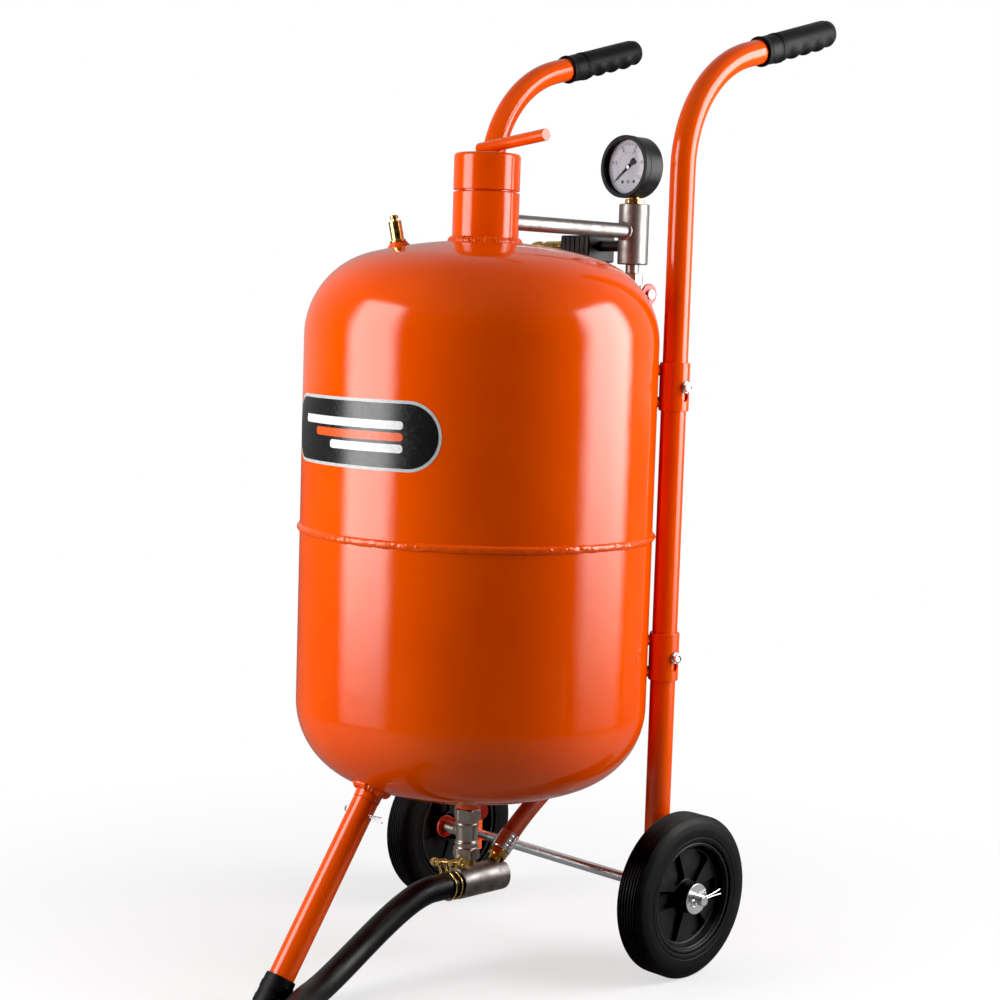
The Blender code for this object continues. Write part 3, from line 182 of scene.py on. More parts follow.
# ---- meshes ------------------------------------------------------------------
def loft(name, rings, loop=False):
    """Closed mesh through rings of equal point count; its UV map is in metres."""
    bm = bmesh.new()
    run = bm.loops.layers.uv.new("run")
    rows = [[bm.verts.new(p) for p in ring] for ring in rings]
    count = len(rings[0])
    girth = max(sum((ring[k] - ring[k - 1]).length for k in range(count)) for ring in rings)
    travel = [0.0]
    for here, there in zip(rings, rings[1:] + rings[:1]):
        travel.append(travel[-1] + (there[0] - here[0]).length)
    for i in range(len(rings) if loop else len(rings) - 1):
        here, there = rows[i], rows[(i + 1) % len(rings)]
        for k in range(count):
            n = (k + 1) % count
            face = bm.faces.new((here[k], here[n], there[n], there[k]))
            spots = ((k, i), (k + 1, i), (k + 1, i + 1), (k, i + 1))
            for corner, (u, v) in zip(face.loops, spots):
                corner[run].uv = (girth * u / count, travel[v])
    if not loop:
        bm.faces.new(rows[0])
        bm.faces.new(rows[-1])
    bmesh.ops.recalc_face_normals(bm, faces=bm.faces)
    if bm.calc_volume(signed=True) < 0:
        bmesh.ops.reverse_faces(bm, faces=bm.faces)
    mesh = bpy.data.meshes.new(name)
    bm.to_mesh(mesh)
    bm.free()
    obj = bpy.data.objects.new(name, mesh)
    bpy.context.scene.collection.objects.link(obj)
    return obj


def turned(name, outline, at=Matrix(), count=64, loop=False):
    """Lathe (radius, height) pairs round local Z. A radius may be a function of angle."""
    rings = []
    for radius, height in outline:
        ring = []
        for k in range(count):
            t = math.tau * k / count
            r = radius(t) if callable(radius) else radius
            ring.append(at @ Vector((r * math.cos(t), r * math.sin(t), height)))
        rings.append(ring)
    return loft(name, rings, loop)


def hexed(flat, low_z, high_z, crown=0.16):
    """Outline rows of a chamfered hexagon for turned(), from low_z to high_z."""
    def reach(limit):
        def radius(t):
            off = (t + math.pi / 6) % (math.pi / 3) - math.pi / 6
            return min(flat / math.cos(off), limit)
        return radius

    depth = crown * flat
    rows = []
    for k in range(6):
        share = (k / 5) ** 2
        rows.append((reach(flat * (0.97 + 0.175 * math.sqrt(share))), depth * share * 0.6))
    return [(r, low_z + d) for r, d in rows] + [(r, high_z - d) for r, d in rows[::-1]]


def tube(name, path, radius, count=32, bore=0.0, side=X, ends=None, loop=False):
    """Round bar or pipe along a path; ends gives the end headings."""
    along = headings(path, loop)
    if ends:
        along[0] = along[1] = ends[0].normalized()
        along[-1] = along[-2] = ends[1].normalized()

    def rings(size):
        result = []
        for i, (point, way) in enumerate(zip(path, along)):
            at = stand(point, way, side)
            r = size(i) if callable(size) else size
            turns = [math.tau * k / count for k in range(count)]
            result.append([at @ Vector((r * math.cos(t), r * math.sin(t), 0)) for t in turns])
        return result

    if bore:
        return loft(name, rings(radius) + rings(bore)[::-1], loop=True)
    return loft(name, rings(radius), loop)


def rod(name, start, end, radius, count=32, edge=0.0004):
    """Straight round bar with broken edges."""
    length = (end - start).length
    side = X if abs((end - start).normalized().x) < 0.9 else Y
    outline = [(radius - edge, 0), (radius, edge), (radius, length - edge), (radius - edge, length)]
    return turned(name, outline, stand(start, end - start, side), count)


def bead(name, path, outs, width, height, seed=0.0, loop=True, count=14, lumps=0.22):
    """Lumpy weld run along a path; outs points away from the joint at each point."""
    rings = []
    travelled = 0.0
    for i, (point, out, way) in enumerate(zip(path, outs, headings(path, loop))):
        if i:
            travelled += (point - path[i - 1]).length
        spot = point * 160 + Vector((seed, 0, 0))
        swell = 1 + lumps * noise.noise(spot) + 0.5 * lumps * noise.noise(spot * 2.7)
        ripple = 1 + 0.10 * math.cos(math.tau * travelled / 0.0034 + 2 * noise.noise(point * 60))
        across = way.cross(out).normalized()
        drift = 0.12 * width * noise.noise(point * 90 + Vector((0, seed, 7)))
        centre = point + across * drift
        ring = []
        for k in range(count):
            t = math.tau * k / count
            lift = height * swell * ripple * math.cos(t)
            ring.append(centre + out * lift + across * (width / 2 * swell * math.sin(t)))
        rings.append(ring)
    return loft(name, rings, loop)


def slab(name, low_corner, high_corner, edge=0.0006, at=Matrix()):
    """Rectangular block with rounded edges."""
    bm = bmesh.new()
    bmesh.ops.create_cube(bm, size=1.0)
    span = high_corner - low_corner
    bmesh.ops.scale(bm, vec=span, verts=bm.verts)
    bmesh.ops.translate(bm, vec=(low_corner + high_corner) / 2, verts=bm.verts)
    bmesh.ops.bevel(bm, geom=bm.edges[:], offset=edge, segments=3, profile=0.5, affect="EDGES")
    bm.transform(at)
    mesh = bpy.data.meshes.new(name)
    bm.to_mesh(mesh)
    bm.free()
    obj = bpy.data.objects.new(name, mesh)
    bpy.context.scene.collection.objects.link(obj)
    return obj


def combine(obj, tool, operation):
    """Cut or join with another mesh, which is used up."""
    modifier = obj.modifiers.new("combine", "BOOLEAN")
    modifier.object = tool
    modifier.operation = operation
    modifier.solver = "EXACT"
    graph = bpy.context.evaluated_depsgraph_get()
    graph.update()
    result = bpy.data.meshes.new_from_object(obj.evaluated_get(graph))
    obj.modifiers.clear()
    obj.data = result
    bpy.data.objects.remove(tool)


def cut(obj, tool):
    combine(obj, tool, "DIFFERENCE")


def fuse(obj, *others):
    """Put several meshes in one object, each keeping its own surface."""
    bm = bmesh.new()
    bm.from_mesh(obj.data)
    for other in others:
        bm.from_mesh(other.data)
        bpy.data.objects.remove(other)
    bm.to_mesh(obj.data)
    bm.free()
    return obj


# ---- materials ---------------------------------------------------------------
class Graph:
    """Adds shader nodes to a tree; each method gives back an output socket."""

    def __init__(self, tree):
        self.tree = tree

    def add(self, kind, inputs=(), output=0, **settings):
        node = self.tree.nodes.new("ShaderNode" + kind)
        for key, value in settings.items():
            setattr(node, key, value)
        for key, value in dict(inputs).items():
            self.feed(node.inputs[key], value)
        return node.outputs[output]

    def feed(self, socket, value):
        if isinstance(value, bpy.types.NodeSocket):
            self.tree.links.new(value, socket)
        elif socket.type == "RGBA":
            socket.default_value = (*value[:3], 1.0)
        else:
            socket.default_value = value

    def place(self):
        return self.add("TexCoord", output="Object")

    def run(self):
        return self.add("TexCoord", output="UV")

    def scaled(self, at, factors):
        return self.add("VectorMath", {0: at, 1: factors}, operation="MULTIPLY")

    def noise(self, at, scale, detail=3.0, rough=0.5):
        inputs = {"Vector": at, "Scale": scale, "Detail": detail, "Roughness": rough}
        return self.add("TexNoise", inputs)

    def cells(self, at, scale, feature="F1"):
        return self.add("TexVoronoi", {"Vector": at, "Scale": scale}, feature=feature)

    def span(self, value, start, end, to_start=0.0, to_end=1.0):
        inputs = {0: value, 1: start, 2: end, 3: to_start, 4: to_end}
        return self.add("MapRange", inputs, interpolation_type="SMOOTHSTEP")

    def mix(self, factor, first, second):
        return self.add("Mix", {0: factor, 6: first, 7: second}, output=2, data_type="RGBA")

    def sum(self, first, second, operation="ADD"):
        return self.add("Math", {0: first, 1: second}, operation=operation)


class Finish(Graph):
    """One named material round a Principled shader."""

    def __init__(self, name):
        self.material = bpy.data.materials.new(name)
        self.material.use_nodes = True
        super().__init__(self.material.node_tree)
        self.shader = self.tree.nodes["Principled BSDF"]

    def edges(self, width, start=0.02, end=0.25):
        """1 on outer edges and 0 on flats, from the difference a bevel would make."""
        soft = self.add("Bevel", {"Radius": width}, samples=4)
        hard = self.add("NewGeometry", output="Normal")
        same = self.add("VectorMath", {0: soft, 1: hard}, operation="DOT_PRODUCT", output="Value")
        return self.span(self.sum(1.0, same, "SUBTRACT"), start, end)

    def bumps(self, *layers):
        """Stack (height, depth in metres) pairs into one normal."""
        normal = None
        for height, depth in layers:
            inputs = {"Height": height, "Distance": depth, "Strength": 1.0}
            if normal:
                inputs["Normal"] = normal
            normal = self.add("Bump", inputs)
        self.feed(self.shader.inputs["Normal"], normal)

    def give(self, **inputs):
        for key, value in inputs.items():
            self.feed(self.shader.inputs[key.replace("_", " ").title().replace("Ior", "IOR")], value)
        return self.material


def orange_paint():
    """Gloss powder coat: faint orange peel and slow changes of film."""
    m = Finish("orange_paint")
    at = m.place()
    film = m.noise(at, 7.0, 4.0)
    peel = m.noise(at, 620.0, 1.5)
    sag = m.noise(at, 34.0, 2.0)
    specks = m.span(m.cells(at, 210.0), 0.035, 0.0)
    colour = m.mix(m.span(film, 0.36, 0.64), (0.800, 0.076, 0.0008), (0.850, 0.088, 0.0010))
    colour = m.mix(m.sum(specks, 0.35, "MULTIPLY"), colour, (0.50, 0.035, 0.002))
    rough = m.span(m.noise(at, 22.0, 3.0), 0.3, 0.7, 0.085, 0.135)
    m.bumps((sag, 0.00022), (peel, 0.0000075), (specks, 0.00004))
    return m.give(base_color=colour, roughness=rough, specular_ior_level=0.5)


def bare_steel():
    """Turned steel left bare: fine tool marks, light oxide and rubbed edges."""
    m = Finish("machined_steel")
    at, run = m.place(), m.run()
    marks = m.noise(m.scaled(run, (3.0, 900.0, 1.0)), 6.0, 3.0, 0.7)
    oxide = m.noise(at, 60.0, 5.0, 0.6)
    fine = m.noise(at, 900.0, 3.0)
    colour = m.mix(m.span(oxide, 0.35, 0.68), (0.34, 0.322, 0.308), (0.225, 0.207, 0.194))
    pits = m.span(m.cells(at, 420.0), 0.09, 0.02)
    colour = m.mix(m.sum(pits, 0.6, "MULTIPLY"), colour, (0.10, 0.085, 0.075))
    colour = m.mix(m.edges(0.0008), colour, (0.72, 0.70, 0.68))
    rough = m.sum(m.span(oxide, 0.3, 0.7, 0.34, 0.48), m.span(marks, 0.3, 0.7, -0.03, 0.06))
    m.bumps((marks, 0.000010), (fine, 0.000006), (pits, -0.00003))
    return m.give(base_color=colour, metallic=1.0, roughness=rough)


def zinc():
    """Bright zinc plate with a cloudy passivated film."""
    m = Finish("zinc_steel")
    at = m.place()
    cloud = m.noise(at, 60.0, 3.0, 0.5)
    grain = m.noise(at, 1500.0, 2.0)
    colour = m.mix(m.span(cloud, 0.35, 0.65), (0.79, 0.80, 0.82), (0.71, 0.72, 0.72))
    colour = m.mix(m.edges(0.0005), colour, (0.90, 0.90, 0.90))
    m.bumps((grain, 0.000001))
    return m.give(base_color=colour, metallic=1.0, roughness=m.span(cloud, 0.3, 0.7, 0.19, 0.28))


def nickel():
    """Satin nickel over a forged brass body."""
    m = Finish("nickel_plate")
    at = m.place()
    forge = m.noise(at, 420.0, 4.0, 0.6)
    cloud = m.noise(at, 90.0, 3.0)
    colour = m.mix(m.span(cloud, 0.35, 0.65), (0.46, 0.42, 0.38), (0.37, 0.335, 0.30))
    colour = m.mix(m.edges(0.0006), colour, (0.78, 0.75, 0.71))
    m.bumps((forge, 0.000028))
    return m.give(base_color=colour, metallic=1.0, roughness=m.span(cloud, 0.3, 0.7, 0.26, 0.38))


def brass():
    """Turned brass, browner where it is handled less."""
    m = Finish("brass")
    at, run = m.place(), m.run()
    marks = m.noise(m.scaled(run, (3.0, 1200.0, 1.0)), 5.0, 2.0, 0.6)
    tarnish = m.noise(at, 150.0, 4.0, 0.6)
    colour = m.mix(m.span(tarnish, 0.38, 0.68), (0.78, 0.54, 0.20), (0.62, 0.40, 0.13))
    colour = m.mix(m.edges(0.0005), colour, (0.92, 0.72, 0.36))
    m.bumps((marks, 0.000008), (m.noise(at, 1300.0, 2.0), 0.000004))
    return m.give(base_color=colour, metallic=1.0, roughness=m.span(tarnish, 0.3, 0.7, 0.16, 0.32))


def rubber(name, tone, rough, grain_scale, grain_depth, dust=0.5):
    """Moulded rubber with a skin grain and a little dust on its high spots."""
    m = Finish(name)
    at = m.place()
    grain = m.noise(at, grain_scale, 3.0, 0.6)
    patch = m.noise(at, 38.0, 5.0, 0.62)
    dusty = tuple(1.6 * c + 0.004 for c in tone)
    colour = m.mix(m.sum(m.span(patch, 0.42, 0.75), dust, "MULTIPLY"), tone, dusty)
    colour = m.mix(m.sum(m.edges(0.0009), 0.55, "MULTIPLY"), colour, dusty)
    m.bumps((grain, grain_depth), (patch, 0.00008))
    return m.give(base_color=colour, roughness=m.span(patch, 0.3, 0.7, rough - 0.06, rough + 0.08),
                  specular_ior_level=0.15)


def wrapped_hose(name, tone, rough, wrap):
    """Hose rubber that keeps the print of the cloth wound round it when it was cured."""
    m = Finish(name)
    at, run = m.place(), m.run()
    lines = m.add("TexWave", {"Vector": m.scaled(run, (1.0, 1.0, 1.0)), "Scale": wrap,
                              "Distortion": 1.2, "Detail": 2.0, "Detail Scale": 40.0},
                  output="Fac", bands_direction="DIAGONAL")
    weave = m.noise(m.scaled(run, (1.0, 0.35, 1.0)), 1500.0, 2.0)
    scuff = m.noise(m.scaled(run, (1.0, 0.25, 1.0)), 90.0, 4.0, 0.6)
    pale = tuple(min(1.0, 1.7 * c + 0.012) for c in tone)
    colour = m.mix(m.span(scuff, 0.45, 0.75), tone, pale)
    m.bumps((lines, 0.00006), (weave, 0.00003), (m.noise(at, 60.0, 3.0), 0.00015))
    return m.give(base_color=colour, roughness=m.span(scuff, 0.3, 0.7, rough - 0.05, rough + 0.12),
                  specular_ior_level=0.28)


def black_plastic():
    """Spark-textured glass-filled nylon."""
    m = Finish("black_plastic")
    at = m.place()
    grain = m.noise(at, 1700.0, 2.0)
    patch = m.noise(at, 55.0, 4.0)
    colour = m.mix(m.span(patch, 0.35, 0.7), (0.0085, 0.0090, 0.0095), (0.0150, 0.0155, 0.0160))
    colour = m.mix(m.sum(m.edges(0.0008), 0.6, "MULTIPLY"), colour, (0.050, 0.052, 0.054))
    m.bumps((grain, 0.000014))
    return m.give(base_color=colour, roughness=m.span(patch, 0.3, 0.7, 0.30, 0.42),
                  specular_ior_level=0.25)


def vinyl():
    """Dipped vinyl on the valve levers."""
    m = Finish("lever_vinyl")
    at = m.place()
    sag = m.noise(at, 150.0, 2.0)
    tone = m.noise(at, 45.0, 3.0)
    colour = m.mix(m.span(tone, 0.35, 0.65), (0.62, 0.030, 0.012), (0.50, 0.020, 0.010))
    colour = m.mix(m.sum(m.edges(0.0012), 0.5, "MULTIPLY"), colour, (0.78, 0.10, 0.05))
    m.bumps((sag, 0.00010), (m.noise(at, 2000.0, 2.0), 0.000004))
    return m.give(base_color=colour, roughness=m.span(tone, 0.3, 0.7, 0.24, 0.38), coat_weight=0.2)


def dial_card():
    """Pale printed dial with a faint mottle."""
    m = Finish("dial_face")
    at = m.place()
    fibre = m.noise(at, 1400.0, 3.0)
    patch = m.noise(at, 70.0, 2.0)
    colour = m.mix(m.span(patch, 0.3, 0.7), (0.56, 0.555, 0.615), (0.60, 0.595, 0.65))
    m.bumps((fibre, 0.000004))
    return m.give(base_color=colour, roughness=m.span(fibre, 0.3, 0.7, 0.42, 0.55))


def printed(name, tone, rough=0.28):
    """Screen-printed ink or film with a faint mottle."""
    m = Finish(name)
    at = m.place()
    mottle = m.noise(at, 260.0, 3.0)
    darker = tuple(0.86 * c for c in tone)
    m.bumps((m.noise(at, 900.0, 2.0), 0.000006))
    colour = m.mix(m.span(mottle, 0.35, 0.65), tone, darker)
    return m.give(base_color=colour, roughness=m.span(mottle, 0.3, 0.7, rough - 0.04, rough + 0.06))


def lens_glass():
    """Clear disc: it only mirrors, more so at a glancing angle."""
    m = Finish("lens_glass")
    mirror = m.add("BsdfAnisotropic", {"Color": (1, 1, 1), "Roughness": 0.03})
    clear = m.add("BsdfTransparent", {"Color": (0.97, 0.98, 0.985)})
    smear = m.span(m.noise(m.place(), 90.0, 3.0), 0.4, 0.8, 0.0, 0.02)
    front = m.sum(1.0, m.add("NewGeometry", output="Backfacing"), "SUBTRACT")
    share = m.sum(m.sum(m.add("Fresnel", {"IOR": 1.45}), smear), front, "MULTIPLY")
    both = m.add("MixShader", {0: share, 1: clear, 2: mirror})
    output = next(n for n in m.tree.nodes if n.type == "OUTPUT_MATERIAL")
    m.feed(output.inputs["Surface"], both)
    m.tree.nodes.remove(m.shader)
    return m.material


LOOKS = {
    "orange_paint": orange_paint(),
    "machined_steel": bare_steel(),
    "zinc_steel": zinc(),
    "nickel_plate": nickel(),
    "brass": brass(),
    "grip_rubber": rubber("grip_rubber", (0.0080, 0.0080, 0.0088), 0.46, 900.0, 0.00004, 0.3),
    "tyre_rubber": rubber("tyre_rubber", (0.0065, 0.0065, 0.0067), 0.48, 500.0, 0.00006, 0.4),
    "black_plastic": black_plastic(),
    "dial_face": dial_card(),
    "lens_glass": lens_glass(),
    "lever_vinyl": vinyl(),
    "air_hose_rubber": wrapped_hose("air_hose_rubber", (0.270, 0.036, 0.014), 0.42, 160.0),
    "blast_hose_rubber": wrapped_hose("blast_hose_rubber", (0.0075, 0.0075, 0.0080), 0.36, 110.0),
}
INK = printed("dial_ink", (0.020, 0.020, 0.026), 0.4)
LABEL_FILM = printed("label_film", (0.012, 0.012, 0.013), 0.22)
LABEL_EDGE = printed("label_edge", (0.55, 0.56, 0.57), 0.30)
LABEL_PALE = printed("label_pale", (0.80, 0.80, 0.79), 0.30)
LABEL_WARM = printed("label_warm", (0.80, 0.10, 0.010), 0.28)


def dress(obj, slot, look=None, crease=38):
    """Smooth shading with kept creases, even normals and the slot's finish."""
    obj.data.shade_smooth()
    obj.data.set_sharp_from_angle(angle=math.radians(crease))
    even = obj.modifiers.new("even", "WEIGHTED_NORMAL")
    even.keep_sharp = True
    obj.data.materials.clear()
    obj.data.materials.append(look or LOOKS[slot])
    return obj


def stand_in(obj, node, slot=None, crease=38):
    """Dress a piece, let it ride with a CAD node's body and take that node's place."""
    dress(obj, slot or SLOT_OF[node], crease=crease)
    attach(obj, body_of(frame["nodes"][node])[0])
    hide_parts(node)
    return obj


def extra(obj, beside, slot=None, look=None, crease=38):
    """Dress a piece that has no CAD node of its own and let it ride beside one."""
    dress(obj, slot or SLOT_OF[beside], look, crease)
    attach(obj, body_of(frame["nodes"][beside])[0])
    return obj


# ---- tank --------------------------------------------------------------------
def crown_centre(head):
    """Height of the middle of a head's crown sphere."""
    slack = head["crown"] - head["knuckle"]
    meet = math.asin((TANK_R - head["knuckle"]) / slack)
    return head["tangent"] - head["sense"] * slack * math.cos(meet)


def head_outline(head, inset, hole):
    """(radius, height) from the cylinder over the knuckle and crown to a hole."""
    corner = TANK_R - head["knuckle"]
    meet = math.degrees(math.asin(corner / (head["crown"] - head["knuckle"])))
    sense = head["sense"]
    knuckle = arc((corner, 0), head["knuckle"] - inset, 0, 90 - meet, 22)
    outline = [(r, head["tangent"] + sense * h) for r, h in knuckle]
    reach = head["crown"] - inset
    last = 90 - math.degrees(math.asin(hole / reach))
    crown = arc((0, 0), reach, 90 - meet, last, 22)[1:]
    return outline + [(r, crown_centre(head) + sense * h) for r, h in crown]


def dome_point(radial, azimuth):
    """Point and outward normal on the upper crown."""
    centre = AXIS + Z * crown_centre(UPPER)
    lift = math.sqrt(UPPER["crown"] ** 2 - radial ** 2)
    spot = centre + Vector((radial * math.cos(azimuth), radial * math.sin(azimuth), lift))
    return spot, (spot - centre).normalized()


def tank():
    at = Matrix.Translation(AXIS)
    hole = NECK_R + 0.0003
    outline = [(TANK_R, SEAM_Z + 0.0002)] + head_outline(UPPER, 0.0, hole)
    outline += head_outline(UPPER, TANK_WALL, hole)[::-1] + [(TANK_R - TANK_WALL, SEAM_Z + 0.0002)]
    stand_in(turned("upper_shell_fine", outline, at, 192, loop=True), "upper_shell")

    collar, bore, end = 0.0135, 0.0106, low("lower_shell").z
    outline = [(TANK_R, SEAM_Z - 0.0002)] + head_outline(LOWER, 0.0, collar + 0.0030)
    outline += soften([(collar + 0.0008, outline[-1][1] - 0.0020), (collar, end + 0.0040),
                       (collar, end), (bore, end)], 0.0005)
    outline += head_outline(LOWER, TANK_WALL, bore)[::-1] + [(TANK_R - TANK_WALL, SEAM_Z - 0.0002)]
    stand_in(turned("lower_shell_fine", outline, at, 192, loop=True), "lower_shell")


def girth_weld():
    """Flat-topped run of weld with a ragged lower edge, drowned in paint."""
    inner, half = TANK_R - 0.0004, size("girth_weld").z / 2
    stand_off = size("girth_weld").x / 2 - TANK_R
    count, across = 900, 14
    rings = []
    for k in range(count):
        t = math.tau * k / count
        out = Vector((math.cos(t), math.sin(t), 0))
        spot = out * TANK_R
        swell = 1 + 0.16 * noise.noise(spot * 75) + 0.12 * noise.noise(spot * 210)
        top = half * (0.96 + 0.10 * noise.noise(spot * 55 + Z))
        foot = -half * (0.98 + 0.22 * noise.noise(spot * 95 + 5 * Z) + 0.10 * noise.noise(spot * 300))
        ring = [AXIS + out * (inner - 0.0010) + Z * SEAM_Z]
        for i in range(across + 1):
            share = i / across
            bulge = math.sin(math.pi * share) ** 0.62
            height = top + (foot - top) * share
            lump = 0.22 * noise.noise(Vector((spot.x, spot.y, height)) * 420)
            lift = (stand_off + 0.0004) * 0.84 * bulge * (swell + lump)
            ring.append(AXIS + out * (inner + min(lift, stand_off + 0.0010)) + Z * (SEAM_Z + height))
        rings.append(ring)
    stand_in(loft("girth_weld_fine", rings, loop=True), "girth_weld", crease=60)


def filler_neck():
    base = low("filler_neck").z
    bore = NECK_R - 0.0040
    pitch, depth = 0.0040, 0.0008
    outline = soften([(bore, base), (NECK_R, base, 0.0005), (NECK_R, NECK_TOP, 0.0012),
                      (SPIGOT_R - depth, NECK_TOP, 0.0004)], 0.0006)
    rows = 44
    for i in range(1, rows):
        height = NECK_TOP + 0.0010 + (SPIGOT_TOP - NECK_TOP - 0.0022) * i / rows

        def thread(t, height=height):
            phase = (height / pitch - t / math.tau) % 1.0
            return SPIGOT_R - depth * min(1.0, abs(2 * phase - 1) * 1.5)
        outline.append((thread, height))
    bottom = NECK_TOP - 0.0060
    outline += soften([(SPIGOT_R - depth, SPIGOT_TOP - 0.0008, 0.0), (SPIGOT_R - 0.0016, SPIGOT_TOP),
                       (SPIGOT_R - 0.0040, SPIGOT_TOP), (SPIGOT_R - 0.0040, bottom),
                       (bore, bottom - 0.0060), (bore, base)], 0.0004)[:-1]
    neck = turned("filler_neck_fine", outline, Matrix.Translation(AXIS), 96, loop=True)
    stand_in(neck, "filler_neck")

    steps = 260
    ring_r = NECK_R + 0.0006
    height = dome_point(ring_r, 0)[0].z + 0.0012
    turns = [math.tau * k / steps for k in range(steps)]
    outs = [Vector((math.cos(t), math.sin(t), 0.9)).normalized() for t in turns]
    path = [AXIS + Vector((ring_r * math.cos(t), ring_r * math.sin(t), height)) for t in turns]
    extra(bead("neck_weld", path, outs, 0.0092, 0.0030, 3.0, lumps=0.34), "filler_neck")


def cap():
    """Screw cap and its one-sided bar, with the weld between them."""
    at = Matrix.Translation(AXIS)
    bore = SPIGOT_R + 0.0004
    ceiling = high("cap_seal").z + 0.0003
    lip, hem = (NECK_R + SPIGOT_R) / 2, NECK_TOP + 0.0004
    outline = soften([(bore, ceiling), (bore, hem), (lip, hem), (lip, CAP_BOTTOM),
                      (NECK_R, CAP_BOTTOM, 0.0009), (NECK_R, CAP_TOP, 0.0042), (0.0012, CAP_TOP)], 0.0003, 6)
    body = turned("filler_cap_fine", outline, at, 96)
    stand_in(body, "filler_cap")

    rise = math.radians(6.4)
    bar_r = 0.00625
    way = Vector((math.cos(rise), 0, math.sin(rise)))
    foot = AXIS + Z * (CAP_TOP + bar_r + 0.0006)
    start, end = foot - way * 0.0136, foot + way * (high("filler_cap").x / math.cos(rise) - 0.0002)
    length = (end - start).length
    outline = soften([(0.0010, 0.0), (bar_r, 0.0, 0.0022), (bar_r, length, 0.0007), (0.0010, length)],
                     0.0006, 5)
    bar = turned("cap_bar", outline, stand(start, way, Y), 48)
    extra(bar, "filler_cap")

    path, outs = [], []
    steps = 90
    for k in range(steps):
        t = math.tau * k / steps
        spot = Vector((0.0034 + 0.0132 * math.cos(t), 0.0044 * math.sin(t), 0))
        path.append(AXIS + spot + Z * (CAP_TOP + 0.0005))
        outs.append(Vector((0.3 * math.cos(t), 0.8 * math.sin(t), 0.8)).normalized())
    extra(bead("cap_bar_weld", path, outs, 0.0036, 0.0023, 9.0), "filler_cap")

    low_z, high_z = low("cap_seal").z, high("cap_seal").z
    outline = soften([(0.0235, low_z), (SPIGOT_R, low_z), (SPIGOT_R, high_z), (0.0235, high_z)],
                     0.0008, 4, loop=True)
    stand_in(turned("cap_seal_fine", outline, at, 72, loop=True), "cap_seal")


def safety_valve():
    """Brass relief valve on its boss: flange, drilled body and the pull stem."""
    spot, normal = dome_point(0.0905, math.radians(226.0))
    at = stand(spot, normal, Vector((0.8, -0.6, 0)))
    outline = soften([(0.0069, -0.0008), (0.0112, -0.0008), (0.0104, 0.0022, 0.0010), (0.0092, 0.0045),
                      (0.0069, 0.0045)], 0.0006, 4, loop=True)
    stand_in(turned("safety_boss_fine", outline, at, 40, loop=True), "safety_boss")
    steps = 70
    turns = [math.tau * k / steps for k in range(steps)]
    path = [at @ Vector((0.0108 * math.cos(t), 0.0108 * math.sin(t), 0.0003)) for t in turns]
    outs = [(at.to_3x3() @ Vector((math.cos(t), math.sin(t), 0.7))).normalized() for t in turns]
    extra(bead("boss_weld", path, outs, 0.0040, 0.0012, 17.0), "safety_boss")

    body = turned("safety_valve_body_fine", soften(
        [(0.0022, -0.0060), (0.0060, -0.0060), (0.0060, 0.0048), (0.0086, 0.0048), (0.0086, 0.0066),
         (0.0068, 0.0070), (0.0068, 0.0268, 0.0012), (0.0050, 0.0268), (0.0050, 0.0100), (0.0032, 0.0100),
         (0.0032, 0.0040), (0.0022, 0.0040)], 0.0004, 3, loop=True), at, 48, loop=True)
    drill_end = at @ Vector((0.010, 0, 0.0118))
    cut(body, rod("drill", at @ Vector((-0.010, 0, 0.0118)), drill_end, 0.0017, 20, 0.0))
    stand_in(body, "safety_valve_body")
    outline = soften([(0.0026, 0.0045), (0.0026, 0.0110), (0.0026, 0.0294), (0.0044, 0.0296),
                      (0.0044, 0.0326), (0.0012, 0.0334)], 0.0004, 3)
    stand_in(turned("safety_valve_stem_fine", outline, at, 36), "safety_valve_stem")


# ---- hand truck --------------------------------------------------------------
def handle_path(side, shorten=0.0):
    """Centre line of a handle tube from its foot to the end inside the grip."""
    x = side * TUBE_X
    turn = math.pi / 2 - GRIP_SLOPE
    path = [Vector((x, TUBE_Y, low("handle_tube_right").z))]
    path += [Vector((x, TUBE_Y, BEND_START * k / 6)) for k in range(2, 7)]
    for k in range(1, 25):
        t = turn * k / 24
        path.append(Vector((x, TUBE_Y + BEND_RADIUS * (1 - math.cos(t)),
                            BEND_START + BEND_RADIUS * math.sin(t))))
    way = Vector((0, math.cos(GRIP_SLOPE), math.sin(GRIP_SLOPE)))
    path.append(path[-1] + way * (BARE_TUBE + GRIP_LENGTH - shorten))
    return path, way


def handle(side, word):
    path, way = handle_path(side, 0.0050)
    pipe = tube("handle_tube_" + word + "_fine", path, TUBE_R, 40, TUBE_R - 0.0020, ends=(Z, way))
    stand_in(pipe, "handle_tube_" + word)


